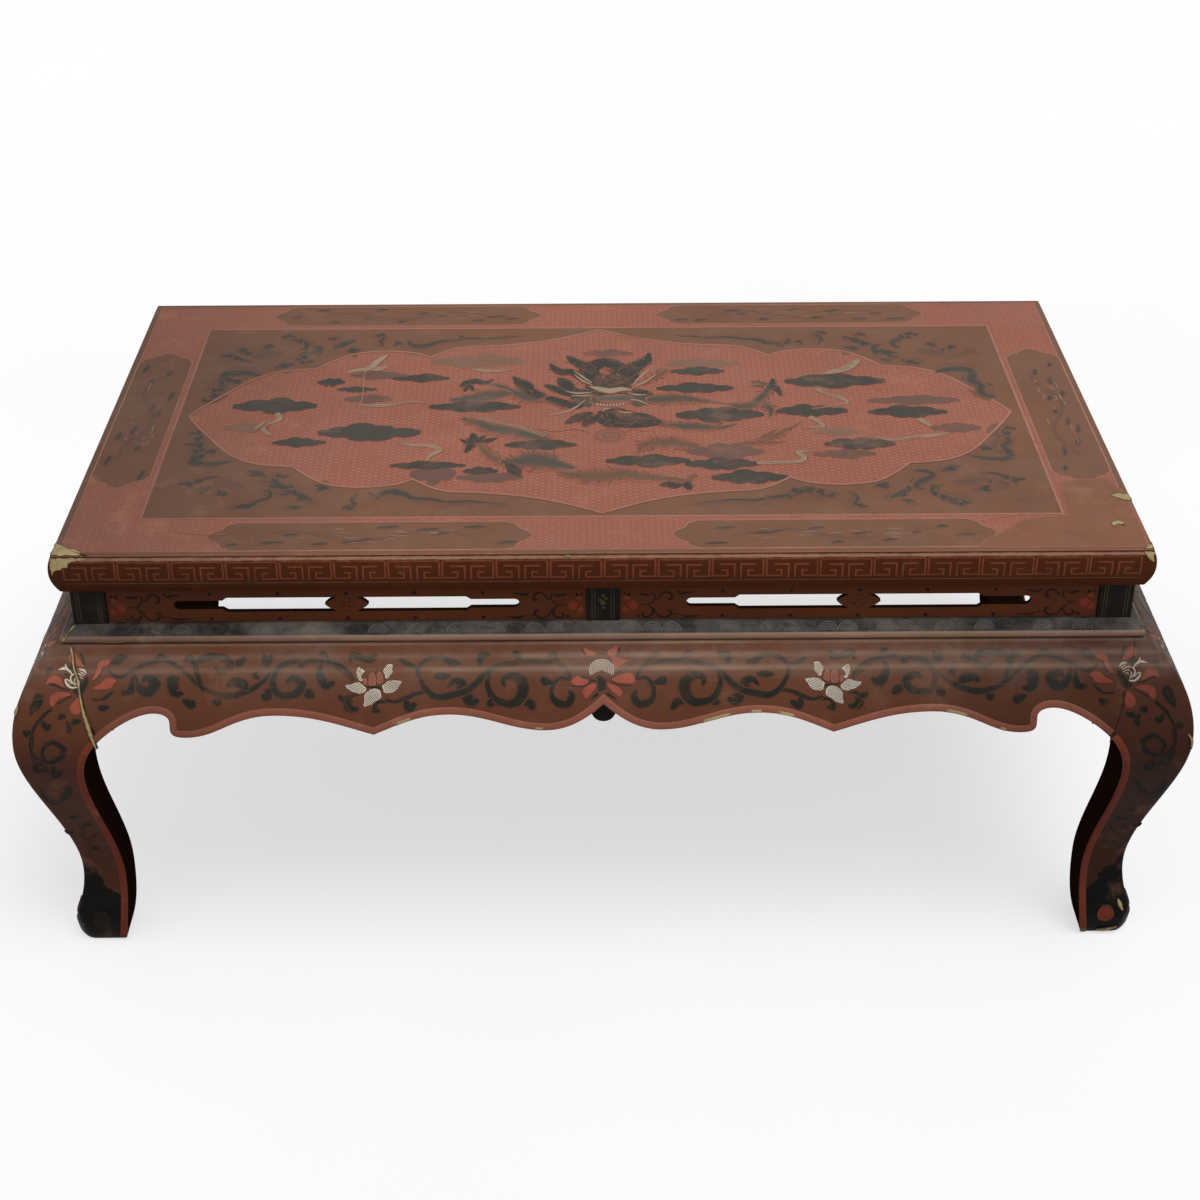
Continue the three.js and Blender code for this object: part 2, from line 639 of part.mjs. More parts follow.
function leg() {
  const reach = KNEE_OUTSET + LIP_PROUD + PAST;
  const front = alongY(legTemplate(0), -reach, POST_INSET);
  const lipFront = alongY(lipTemplate(), -reach, POST_INSET);
  const lipWall = alongY(legTemplate(LIP_PROUD), -reach, POST_INSET);
  const side = swapped(front);
  const lip = lipFront.intersect(swapped(lipWall));
  const sockets = apronSocket().add(swapped(apronSocket()));
  const centre = POST_SETBACK + POST_WIDTH / 2;
  const half = POST_WIDTH / 2;
  const postFoot = MITRE_FOOT + POST_INSET - MITRE_FOOT_INSET;
  const post = box(-centre - half, -centre + half, centre - half, centre + half, postFoot, WAIST_TOP);
  const tenonHalf = POST_TENON / 2;
  const tenon = box(-centre - tenonHalf, -centre + tenonHalf, centre - tenonHalf, centre + tenonHalf,
    WAIST_TOP - PAST, RAIL_BOTTOM + POST_TENON_HEIGHT);
  const disc = new THREE.CylinderGeometry(BOSS_RADIUS, BOSS_RADIUS, TOE_OUTSET, 20);
  const boss = solid(disc).translate([-BOSS_INSET, -TOE_OUTSET / 2 - BOSS_PROUD, BOSS_HEIGHT]);
  const shaft = front.intersect(side).add(lip).add(swapped(lip)).intersect(toeRound()).subtract(sockets);
  return shaft.add(boss).add(swapped(boss)).add(post.subtract(sockets)).add(tenon);
}

// Assembly: one group for each side and one for each corner
const table = new THREE.Group();

function place(group, name, manifold, look) {
  const mesh = new THREE.Mesh(geometryOf(manifold), look);
  mesh.name = name;
  group.add(mesh);
  return mesh;
}

const wood = material(COLOURS.bareWood, 0.8);
place(table, 'top_lacquer_skin', lacquerSkin(), material(COLOURS.topRed, 0.45));
place(table, 'top_floating_panel', floatingPanel(), wood);
bracePlaces().forEach((x, i) => {
  place(table, `top_brace_${['left', 'middle', 'right'][i] ?? i + 1}`, brace(), wood).position.x = x;
});

const sides = [
  { name: 'front', length: TOP_LENGTH, distance: TOP_DEPTH / 2, turn: 0 },
  { name: 'right', length: TOP_DEPTH, distance: TOP_LENGTH / 2, turn: 1 },
  { name: 'back', length: TOP_LENGTH, distance: TOP_DEPTH / 2, turn: 2 },
  { name: 'left', length: TOP_DEPTH, distance: TOP_LENGTH / 2, turn: 3 },
];

for (const { name, length, distance, turn } of sides) {
  const group = new THREE.Group();
  const angle = (turn * Math.PI) / 2;
  group.rotation.z = angle;
  group.position.set(Math.sin(angle) * distance, -Math.cos(angle) * distance, 0);
  table.add(group);

  const isLong = length === TOP_LENGTH;
  const postWidth = isLong ? CENTRE_POST_WIDTH : 0;
  const panelLength = piercedLength(length, postWidth);
  const offset = isLong ? (length / 2 - POST_INSET + postWidth / 2) / 2 : 0;
  const places = isLong ? [['_left', -offset], ['_right', offset]] : [['', 0]];
  const postSpace = isLong ? centrePost(FIT) : null;
  const minusPost = (manifold) => (postSpace ? manifold.subtract(postSpace) : manifold);

  place(group, `top_rail_${name}`, isLong ? longRail() : topRail(length), material(COLOURS.edgeRed, 0.5));
  place(group, `waist_moulding_${name}`, minusPost(moulding(length)), material(COLOURS.grey, 0.6));
  place(group, `apron_${name}`, apron(length, postSpace), material(COLOURS.brown, 0.45));
  for (const [suffix, x] of places) {
    const panel = piercedPanel(panelLength);
    place(group, `waist_panel_${name}${suffix}`, panel, material(COLOURS.edgeRed, 0.5)).position.x = x;
    place(group, `waist_batten_${name}${suffix}`, batten(panelLength), wood).position.x = x;
  }
  if (isLong) place(group, `centre_post_${name}`, centrePost(), material(COLOURS.black, 0.5));
}

const corners = [
  ['front_right', 1, -1, 0],
  ['back_right', 1, 1, 1],
  ['back_left', -1, 1, 2],
  ['front_left', -1, -1, 3],
];

for (const [name, x, y, turn] of corners) {
  const corner = new THREE.Group();
  corner.position.set((x * TOP_LENGTH) / 2, (y * TOP_DEPTH) / 2, 0);
  corner.rotation.z = (turn * Math.PI) / 2;
  table.add(corner);
  place(corner, `leg_${name}`, leg(), material(COLOURS.brown, 0.45));
}

export default table;
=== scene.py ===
# %% [markdown]
# # A low lacquered table
# A kang table is a low table that stands on a heated platform and is used from the floor. This one is
# softwood under layers of coloured lacquer: a framed top, a narrow pierced waist, shaped aprons and four
# bowed legs. The joinery comes from the CAD model as fixed solids. This lesson dresses it: it gives the
# curved pieces smooth surfaces, lays the painting on in thin coats, and ages the lacquer.

# %% Load the frame
import bisect
import math
import random

import bmesh
import bpy
from mathutils import Matrix, Vector
from mathutils.geometry import interpolate_bezier


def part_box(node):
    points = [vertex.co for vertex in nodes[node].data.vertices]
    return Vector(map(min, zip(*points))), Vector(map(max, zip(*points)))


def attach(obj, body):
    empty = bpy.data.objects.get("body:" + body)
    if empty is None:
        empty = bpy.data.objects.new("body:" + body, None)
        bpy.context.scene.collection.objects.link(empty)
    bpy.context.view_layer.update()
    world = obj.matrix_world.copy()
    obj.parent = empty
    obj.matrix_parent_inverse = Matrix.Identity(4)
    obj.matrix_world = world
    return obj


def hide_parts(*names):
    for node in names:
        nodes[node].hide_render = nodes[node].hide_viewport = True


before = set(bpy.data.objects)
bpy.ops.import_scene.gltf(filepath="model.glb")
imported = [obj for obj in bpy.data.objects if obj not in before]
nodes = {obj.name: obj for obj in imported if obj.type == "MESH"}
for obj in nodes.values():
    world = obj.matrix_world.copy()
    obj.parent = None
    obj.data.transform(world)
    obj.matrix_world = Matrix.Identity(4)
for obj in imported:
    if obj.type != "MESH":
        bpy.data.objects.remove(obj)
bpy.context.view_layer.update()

scene = bpy.context.scene

# %% [markdown]
# ## Camera, floor and light
# The photograph is taken from the front and above with a long lens. The camera's place and turn were found
# by fitting a pinhole camera to the corners of the top and the feet. The floor is almost white, and two
# broad suns and an even sky light the table softly, so that a colour renders about as it is written.

# %% Camera
CAMERA_PLACE = (-0.01175, -1.8720, 1.2991)
CAMERA_YAW = 0.0057
CAMERA_DOWN = 0.5334
CAMERA_ROLL = 0.0035
FOCAL_PIXELS = 2161.58
FRAME_PIXELS = 1200

camera = bpy.data.cameras.new("camera")
camera.sensor_width = 36
camera.lens = FOCAL_PIXELS / FRAME_PIXELS * camera.sensor_width
viewer = bpy.data.objects.new("camera", camera)
scene.collection.objects.link(viewer)
level = Matrix.Rotation(-CAMERA_YAW, 4, "Z") @ Matrix.Rotation(math.pi / 2 - CAMERA_DOWN, 4, "X")
viewer.matrix_world = Matrix.Translation(CAMERA_PLACE) @ level @ Matrix.Rotation(-CAMERA_ROLL, 4, "Z")
scene.camera = viewer
scene.view_settings.view_transform = "Standard"
print("lens:", round(camera.lens, 2), "mm")

# %% Sky and lamps
SKY_LEVEL = 0.44
SUNS = {
    "key": (1.5, 38, (0.3, -0.3, 1.0)),
    "fill": (0.3, 60, (-0.8, -1.0, 0.7)),
    "front": (0.15, 70, (0.1, -1.0, 0.35)),
}

world = bpy.data.worlds.new("studio")
scene.world = world
world.use_nodes = True
world.node_tree.nodes["Background"].inputs["Color"].default_value = (1, 1, 1, 1)
world.node_tree.nodes["Background"].inputs["Strength"].default_value = SKY_LEVEL
for name, (strength, spread, towards) in SUNS.items():
    lamp = bpy.data.lights.new(name, "SUN")
    lamp.energy = strength
    lamp.angle = math.radians(spread)
    sun = bpy.data.objects.new(name, lamp)
    sun.rotation_euler = Vector(towards).to_track_quat("Z", "Y").to_euler()
    scene.collection.objects.link(sun)
print("suns:", ", ".join(SUNS))

# %% [markdown]
# ## Curves of the table
# Legs and aprons share one S-shaped face: it leaves the waist, swells to the knee, draws in at the ankle
# and turns out at the toe. The curve is kept as points of outset and height, in millimetres like the
# joiner's rod, and every piece or coat of paint on that face is bent to it.

# %% Sizes in millimetres
MM = 0.001
low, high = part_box("top_lacquer_skin")
SKIN_TOP = high.z / MM
SKIN_BOTTOM = low.z / MM
LENGTH = 940.0
DEPTH = 545.0
low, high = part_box("top_rail_front")
RAIL_BOTTOM, RAIL_TOP = low.z / MM, high.z / MM
low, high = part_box("apron_front")
APRON_TOP = high.z / MM
low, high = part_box("waist_panel_front_left")
WAIST_BOTTOM, WAIST_TOP = low.z / MM, high.z / MM
RAIL_WIDTH = 66
POST_SETBACK = 10.3
POST_INSET = 40.3
PANEL_SETBACK = 12.3
KNEE_HEIGHT = APRON_TOP - 82.4
MITRE_FOOT = APRON_TOP - 75.9
MITRE_FOOT_INSET = 28.2
MITRE_HEAD_INSET = 8
APRON_THICKNESS = 22
LIP_WIDTH = 6.5
LIP_PROUD = 1.2
SIDES = {"front": (LENGTH, DEPTH / 2, 0), "right": (DEPTH, LENGTH / 2, 1),
         "back": (LENGTH, DEPTH / 2, 2), "left": (DEPTH, LENGTH / 2, 3)}
CORNERS = {"front_right": (1, -1, 0), "back_right": (1, 1, 1), "back_left": (-1, 1, 2),
           "front_left": (-1, -1, 3)}
print("top of the skin:", round(SKIN_TOP, 1), "rail:", round(RAIL_BOTTOM, 1), "to", round(RAIL_TOP, 1))

# %% Curve helpers
def blend(a, b, share):
    return a + (b - a) * share


def bezier(start, leave, arrive, end, steps=16):
    """Points along one cubic curve in a plane."""
    corners = [Vector((p[0], p[1], 0)) for p in (start, leave, arrive, end)]
    return [(p.x, p.y) for p in interpolate_bezier(*corners, steps + 1)]


def bow(start, end, leave, arrive, steps=16):
    """A stretch of a standing curve that leaves and arrives upright."""
    return bezier(start, (start[0], blend(start[1], end[1], leave)),
                  (end[0], blend(start[1], end[1], arrive)), end, steps)


def swing(start, end, leave, arrive, steps=14):
    """A stretch that leaves and arrives level."""
    return bezier(start, (blend(start[0], end[0], leave), start[1]),
                  (blend(start[0], end[0], arrive), end[1]), end, steps)


def circle(x, y, radius, parts):
    """Points round a circle."""
    turn = [math.tau * k / parts for k in range(parts)]
    return [(x + radius * math.cos(a), y + radius * math.sin(a)) for a in turn]


def joined(*runs):
    """Runs of points as one line, where each run starts at the point that ends the last."""
    line = list(runs[0])
    for run in runs[1:]:
        line.extend(run[1:])
    return line


def smooth_line(points, steps=6, closed=False):
    """A flowing line through points of any number of values, as a brush would take it."""
    count = len(points)
    line = []
    for i in range(count if closed else count - 1):
        around = [points[(i + k) % count] if closed else points[min(max(i + k, 0), count - 1)]
                  for k in (-1, 0, 1, 2)]
        for step in range(steps):
            t = step / steps
            line.append(tuple(
                0.5 * (2 * b + (c - a) * t + (2 * a - 5 * b + 4 * c - d) * t * t
                       + (3 * b - a - 3 * c + d) * t ** 3)
                for a, b, c, d in zip(*around)))
    if not closed:
        line.append(tuple(points[-1]))
    return line


def along(table):
    """A function that reads a value at a height from a table of (value, height) points."""
    table = sorted(table, key=lambda p: p[1])
    heights = [p[1] for p in table]

    def read(height):
        k = min(max(bisect.bisect(heights, height), 1), len(table) - 1)
        (a, za), (b, zb) = table[k - 1], table[k]
        return blend(a, b, min(max((height - za) / (zb - za), 0), 1))
    return read


# %% The S-shaped face and the leg's inner edge
SOLE, TOE, ANKLE, KNEE, SHOULDER = (14, 0), (21, 22), (9.1, 78), (44, KNEE_HEIGHT), (0, APRON_TOP)
face = joined(
    bezier(SOLE, (blend(SOLE[0], TOE[0], 0.75), 0), (blend(SOLE[0], TOE[0], 0.88), TOE[1] * 0.36), TOE),
    bow(TOE, ANKLE, 0.15, 0.43),
    bow(ANKLE, KNEE, 0.29, 0.73),
    bezier(KNEE, (KNEE[0], blend(KNEE_HEIGHT, APRON_TOP, 0.5)),
           (blend(0, KNEE[0], 0.59), blend(KNEE_HEIGHT, APRON_TOP, 0.87)), SHOULDER, 24))
outset = along(face)

HEEL, SHANK, THIGH = (23.5, 0), (29.5, 62), (12.8, APRON_TOP - 120.4)
MITRE = (MITRE_FOOT_INSET, MITRE_FOOT)
inner_edge = joined(
    bezier(HEEL, (blend(HEEL[0], SHANK[0], 0.65), SHANK[1] * 0.2), (SHANK[0], SHANK[1] * 0.5), SHANK, 10),
    bow(SHANK, THIGH, 0.33, 0.67, 14),
    bezier(THIGH, (THIGH[0], blend(THIGH[1], MITRE[1], 0.47)),
           (blend(THIGH[0], MITRE[0], 0.4), blend(THIGH[1], MITRE[1], 0.75)), MITRE, 10))
inset = along(inner_edge)


def mitre_inset(height):
    """Where the end of an apron meets the leg."""
    return blend(MITRE_FOOT_INSET, MITRE_HEAD_INSET, (height - MITRE_FOOT) / (APRON_TOP - MITRE_FOOT))


print("knee outset:", round(outset(KNEE_HEIGHT), 1), "ankle:", round(outset(ANKLE[1]), 1))

# %% [markdown]
# ## Shading helpers
# Each finish is a shader in nodes. A few short functions add nodes and join them, and the effects that more
# than one finish uses are node groups: the mottle and wear of old lacquer, with the painted shade and
# painted highlight laid over it, and the soft edge of a brush stroke.

# %% Node helpers
def srgb(code):
    """A colour as written on a screen, such as 7a3427, in the linear values that a shader reads."""
    values = [int(code[i:i + 2], 16) / 255 for i in (0, 2, 4)]
    return tuple(v / 12.92 if v <= 0.04045 else ((v + 0.055) / 1.055) ** 2.4 for v in values) + (1.0,)


def add(tree, kind, joins=None, **settings):
    """Adds one shader node, sets its properties, and joins or fills its inputs."""
    made = tree.nodes.new("ShaderNode" + kind)
    for key, value in settings.items():
        setattr(made, key, value)
    for key, value in (joins or {}).items():
        if isinstance(value, bpy.types.NodeSocket):
            tree.links.new(value, made.inputs[key])
        else:
            made.inputs[key].default_value = value
    return made


def maths(tree, operation, a, b=0.0, clamp=False):
    return add(tree, "Math", {0: a, 1: b}, operation=operation, use_clamp=clamp).outputs[0]


def plus(tree, a, b, clamp=False):
    return maths(tree, "ADD", a, b, clamp)


def minus(tree, a, b):
    return maths(tree, "SUBTRACT", a, b)


def times(tree, a, b):
    return maths(tree, "MULTIPLY", a, b)


def step(tree, value, start, end):
    """0 below start, 1 above end, and a smooth change between them."""
    joins = {"Value": value, "From Min": start, "From Max": end}
    return add(tree, "MapRange", joins, interpolation_type="SMOOTHSTEP").outputs["Result"]


def mixed(tree, share, a, b):
    """Two colours, mixed by a share."""
    return add(tree, "Mix", {0: share, 6: a, 7: b}, data_type="RGBA").outputs[2]


def noise(tree, place, scale, detail=3.0, rough=0.55, stretch=None):
    """A value about 0.5 that wanders with place; stretch squeezes it along the axes."""
    if stretch:
        place = add(tree, "Mapping", {"Vector": place, "Scale": stretch}).outputs[0]
    joins = {"Vector": place, "Scale": scale, "Detail": detail, "Roughness": rough}
    return add(tree, "TexNoise", joins).outputs["Fac"]


def effect(name, inputs, outputs):
    """An empty node group with named inputs and outputs, and its two end nodes."""
    group = bpy.data.node_groups.new(name, "ShaderNodeTree")
    for key, value in inputs.items():
        kind = "NodeSocketColor" if isinstance(value, tuple) else "NodeSocketFloat"
        group.interface.new_socket(key, in_out="INPUT", socket_type=kind).default_value = value
    for key in outputs:
        kind = "NodeSocketColor" if key == "Color" else "NodeSocketFloat"
        group.interface.new_socket(key, in_out="OUTPUT", socket_type=kind)
    return group, group.nodes.new("NodeGroupInput").outputs, group.nodes.new("NodeGroupOutput").inputs


def use(tree, group, joins):
    """Places a group in a material, with this material's own values."""
    return add(tree, "Group", joins, node_tree=group).outputs


# %% [markdown]
# Old lacquer isn't one colour. It darkens and pales in broad clouds, a finer mottle shows the brush, use
# rubs it pale in patches, hair cracks run through it, and grey dust lies where a surface looks up. Over
# that, the colour is darkened towards the ends as painted shade and darkened low down, and pale bands are
# painted where the shoulder rolls over, as a painted highlight. This group gives all of that as one
# colour, a roughness and a height for bump.

# %% Group: aged lacquer and painted light
aged_and_painted_light, given, gives = effect("aged lacquer and painted light",
    {"Color": (0.2, 0.05, 0.03, 1), "Worn": (0.3, 0.12, 0.08, 1), "Mottle": 0.5, "Rubbing": 0.3, "Dust": 0.3,
     "Shine": 0.5, "Left": 0.0, "Right": 0.0, "Low": 0.0, "Sheen": 0.0},
    ["Color", "Roughness", "Height"])
SHADED_ENDS = (0.12, 0.5)
TOWARDS_FEET = (-0.262, -0.2)
PAINTED_HIGHLIGHT_BANDS = ((0.2995, 0.011, 0.35), (0.3065, 0.0028, 0.6), (0.2985, 0.0028, 0.55), (0.3128, 0.0014, 0.7))
CRACK_BROWN, DUST_GREY, PAINTED_HIGHLIGHT_PALE = (0.03, 0.015, 0.01, 1), srgb("8a8078"), srgb("ab9683")
place = add(aged_and_painted_light, "TexCoord").outputs["Object"]
axes = add(aged_and_painted_light, "SeparateXYZ", {0: place}).outputs
broad = noise(aged_and_painted_light, place, 7, 4, 0.6)
fine = noise(aged_and_painted_light, place, 60, 4, 0.65)
grain = noise(aged_and_painted_light, place, 420, 2, 0.6)
tone = plus(aged_and_painted_light, times(aged_and_painted_light, broad, 0.9), times(aged_and_painted_light, fine, 0.45))
tone = plus(aged_and_painted_light, tone, times(aged_and_painted_light, grain, 0.25))
tone = times(aged_and_painted_light, minus(aged_and_painted_light, tone, 0.8), given["Mottle"])
tone = plus(aged_and_painted_light, tone, 1.0)
# Painted shade: the colour is darkened towards both ends of the table. It is also darkened low down.
left = step(aged_and_painted_light, times(aged_and_painted_light, axes["X"], -1.0), *SHADED_ENDS)
right = step(aged_and_painted_light, axes["X"], *SHADED_ENDS)
low = step(aged_and_painted_light, times(aged_and_painted_light, axes["Z"], -1.0), *TOWARDS_FEET)
for share, name in ((left, "Left"), (right, "Right"), (low, "Low")):
    tone = times(aged_and_painted_light, tone, minus(aged_and_painted_light, 1.0, times(aged_and_painted_light, share, given[name])))
base = add(aged_and_painted_light, "VectorMath", {0: given["Color"], 3: tone}, operation="SCALE").outputs[0]
rub = noise(aged_and_painted_light, place, 22, 7, 0.7)
rubbed = times(aged_and_painted_light, step(aged_and_painted_light, rub, 0.54, 0.68), given["Rubbing"])
colour = mixed(aged_and_painted_light, rubbed, base, given["Worn"])
scratch = noise(aged_and_painted_light, place, 55, 5, 0.75, (0.25, 1.6, 1.6))
scratched = times(aged_and_painted_light, step(aged_and_painted_light, scratch, 0.63, 0.68), times(aged_and_painted_light, given["Rubbing"], 0.7))
colour = mixed(aged_and_painted_light, scratched, colour, given["Worn"])
cells = add(aged_and_painted_light, "TexVoronoi", {"Vector": place, "Scale": 38, "Randomness": 1.0},
            feature="DISTANCE_TO_EDGE")
crack = minus(aged_and_painted_light, 1.0, step(aged_and_painted_light, cells.outputs["Distance"], 0.0, 0.018))
crack = times(aged_and_painted_light, crack, step(aged_and_painted_light, noise(aged_and_painted_light, place, 9, 2), 0.5, 0.62))
colour = mixed(aged_and_painted_light, times(aged_and_painted_light, crack, 0.22), colour, CRACK_BROWN)
up = add(aged_and_painted_light, "SeparateXYZ", {0: add(aged_and_painted_light, "NewGeometry").outputs["Normal"]}).outputs["Z"]
settled = times(aged_and_painted_light, step(aged_and_painted_light, up, 0.15, 0.9), step(aged_and_painted_light, noise(aged_and_painted_light, place, 16, 6, 0.7), 0.35, 0.7))
dusty = times(aged_and_painted_light, settled, given["Dust"])
colour = mixed(aged_and_painted_light, dusty, colour, DUST_GREY)
# Painted highlight: pale bands at set heights where the shoulder of the aprons and legs rolls over, fading
# towards the ends.
painted_highlight = 0.0
for middle, width, strength in PAINTED_HIGHLIGHT_BANDS:
    apart = maths(aged_and_painted_light, "ABSOLUTE", minus(aged_and_painted_light, axes["Z"], middle))
    line = times(aged_and_painted_light, step(aged_and_painted_light, times(aged_and_painted_light, apart, -1.0), -width, 0.0), strength)
    painted_highlight = plus(aged_and_painted_light, painted_highlight, line)
painted_highlight = times(aged_and_painted_light, painted_highlight, step(aged_and_painted_light, noise(aged_and_painted_light, place, 9, 4, 0.6, (0.5, 1, 3)), 0.25, 0.65))
ends = plus(aged_and_painted_light, left, right)
painted_highlight = times(aged_and_painted_light, painted_highlight, minus(aged_and_painted_light, 1.0, times(aged_and_painted_light, ends, 0.7)))
colour = mixed(aged_and_painted_light, times(aged_and_painted_light, painted_highlight, given["Sheen"]), colour, PAINTED_HIGHLIGHT_PALE)
aged_and_painted_light.links.new(colour, gives["Color"])
gloss = plus(aged_and_painted_light, given["Shine"], times(aged_and_painted_light, minus(aged_and_painted_light, fine, 0.5), 0.25))
gloss = plus(aged_and_painted_light, gloss, times(aged_and_painted_light, rubbed, 0.25))
gloss = plus(aged_and_painted_light, gloss, times(aged_and_painted_light, dusty, 0.5), clamp=True)
aged_and_painted_light.links.new(gloss, gives["Roughness"])
relief = plus(aged_and_painted_light, times(aged_and_painted_light, fine, 0.6), times(aged_and_painted_light, grain, 0.15))
relief = minus(aged_and_painted_light, relief, times(aged_and_painted_light, crack, 0.5))
aged_and_painted_light.links.new(relief, gives["Height"])
print("group:", aged_and_painted_light.name)

# %% [markdown]
# A finish is a Principled shader whose colour, roughness and normal come from the groups.

# %% Finish helper
BUMP_DEPTH = 0.0004
COAT_ROUGHNESS = 0.35


def finish(name, colour, roughness, height=None, bump=0.15, coat=0.0, gloss=0.2):
    """Puts a colour, a roughness and a bump on a shader. A height of 1 is the full depth of the bump."""
    tree = colour.id_data
    shader = tree.nodes["Principled BSDF"]
    tree.links.new(colour, shader.inputs["Base Color"])
    tree.links.new(roughness, shader.inputs["Roughness"])
    if height:
        joins = {"Height": height, "Strength": bump, "Distance": BUMP_DEPTH}
        tree.links.new(add(tree, "Bump", joins).outputs[0], shader.inputs["Normal"])
    shader.inputs["Specular IOR Level"].default_value = gloss
    shader.inputs["Coat Weight"].default_value = coat
    shader.inputs["Coat Roughness"].default_value = COAT_ROUGHNESS
    return bpy.data.materials[name]


def blank(name):
    """A new material's node tree."""
    made = bpy.data.materials.new(name)
    made.use_nodes = True
    return made.node_tree


# %% [markdown]
# A stroke of paint carries a value called core, which is 1 along its middle and 0 at its rim. This group
# turns it into a mask that frays at the rim and thins in patches, as a dry brush does.

# %% Group: brushed edge
brushed, given, gives = effect("brushed edge", {"Soft": 0.5, "Ragged": 0.4, "Fade": 0.2}, ["Mask"])
place = add(brushed, "TexCoord").outputs["Object"]
core = add(brushed, "Attribute", attribute_name="core").outputs["Fac"]
wander = minus(brushed, noise(brushed, place, 170, 4, 0.65), 0.5)
rim = plus(brushed, core, times(brushed, wander, given["Ragged"]))
mask = step(brushed, rim, 0.02, given["Soft"])
thin = times(brushed, step(brushed, noise(brushed, place, 48, 6, 0.7), 0.5, 0.68), given["Fade"])
brushed.links.new(times(brushed, mask, minus(brushed, 1.0, thin)), gives["Mask"])
print("group:", brushed.name)

# %% [markdown]
# Every ground colour is written once, with its wear, painted shade and painted highlight, so that paint
# laid on it can fade into it without a seam. The same function makes the plain grounds and the paints: a
# plain ground is painted with its own colour.

# %% Grounds and paints
# For each ground: its colour, its colour where it is worn, its mottle, rubbing and dust, and what else it
# has.
# Left and Right darken the ends of the table as painted shade, Low darkens a surface low down, and Sheen
# lays on the painted highlight.
GROUNDS = {
    "red": ("9c5d49", "b07c66", 0.4, 0.25, 0.1, {"Left": 0.36}),
    "brown": ("7b523c", "8f6a52", 0.5, 0.3, 0.1, {"Left": 0.42}),
    "edge": ("4e2410", "7e4a34", 0.5, 0.14, 0.06, {"Left": 0.25, "Right": 0.1}),
    "apron": ("633b29", "86604b", 0.5, 0.25, 0.2, {"Left": 0.1, "Right": 0.52, "Low": 0.5, "Sheen": 0.65}),
    "lip": ("8c5544", "a9745f", 0.6, 0.4, 0.1, {"Left": 0.25, "Right": 0.25, "Low": 0.6}),
    "waist": ("532b18", "744630", 0.5, 0.15, 0.1, {"Left": 0.15}),
    # The inner ground is painted shade on the legs' inner faces; on the walls of the slots it is partly
    # their dark paint and partly painted shade.
    "inner": ("28180f", "4a2c20", 0.6, 0.2, 0.0, {"Low": 0.3}),
    "leg_lip": ("8a4332", "a9674f", 0.5, 0.3, 0.0, {"Left": 0.15, "Right": 0.15, "Low": 0.4}),
    "band": ("302f2d", "75665a", 0.9, 0.4, 0.45, {"Shine": 0.6, "Left": 0.2, "Right": 0.2}),
    "bead": ("8b6f5d", "a18876", 0.7, 0.4, 0.4, {"Left": 0.45, "Right": 0.2}),
    "chip": ("4c3f29", "7d6a45", 0.9, 0.4, 0.1, {"Shine": 0.8}),
    "post": ("171310", "3c3026", 0.8, 0.25, 0.2, {}),
}
GLOSSY = {"red": 0.2, "brown": 0.2, "inner": 0.0, "leg_lip": 0.04}


def aged_and_painted_light_over(tree, ground, share, colour):
    """The outputs of aged lacquer and painted light, where a share of a colour lies over a ground."""
    below, worn, mottle, rubbing, dust, more = GROUNDS[ground]
    settings = {"Worn": srgb(worn), "Mottle": mottle, "Rubbing": rubbing, "Dust": dust} | more
    return use(tree, aged_and_painted_light, {"Color": mixed(tree, share, srgb(below), srgb(colour))} | settings)


def painted(name, colour, ground, soft=0.4, ragged=0.4, fade=0.3, bump=0.15):
    """A finish of one paint over one ground."""
    tree = blank(name)
    mask = use(tree, brushed, {"Soft": soft, "Ragged": ragged, "Fade": fade})["Mask"]
    out = aged_and_painted_light_over(tree, ground, mask, colour)
    gloss = GLOSSY.get(ground, 0.06)
    return finish(name, out["Color"], out["Roughness"], out["Height"], bump, gloss / 2, gloss)


def ground(name):
    """The plain finish of a ground."""
    return painted(name + "_ground", GROUNDS[name][0], name)


brown, edge_red, waist_red, grey, bead_brown, black = (
    ground(name) for name in ("apron", "edge", "waist", "band", "bead", "post"))
top_red, top_brown, lip_red, inner_painted_shade, leg_lip_red = (
    ground(name) for name in ("red", "brown", "lip", "inner", "leg_lip"))
print("finishes:", len(bpy.data.materials))

# %% [markdown]
# Bare wood shows under the table and where the lacquer has chipped. Its grain is noise stretched along the
# board, with a few darker lines.

# %% Bare wood
def bare_wood(name, light, dark, stretch):
    tree = blank(name)
    place = add(tree, "TexCoord").outputs["Object"]
    bands = noise(tree, place, 26, 4, 0.6, stretch)
    pores = noise(tree, place, 260, 3, 0.7, stretch)
    colour = mixed(tree, step(tree, bands, 0.35, 0.68), srgb(light), srgb(dark))
    colour = mixed(tree, times(tree, step(tree, pores, 0.52, 0.7), 0.6), colour, srgb(dark))
    rough = plus(tree, 0.7, times(tree, pores, 0.25))
    return finish(name, colour, rough, pores, 0.3)


LENGTHWAYS = (0.12, 1.6, 1.6)
CROSSWAYS = (1.6, 0.12, 1.6)
wood_long = bare_wood("bare_wood_long", "7d5a3a", "4e3420", LENGTHWAYS)
wood_cross = bare_wood("bare_wood_cross", "745234", "4a301d", CROSSWAYS)
print("woods:", wood_long.name, wood_cross.name)

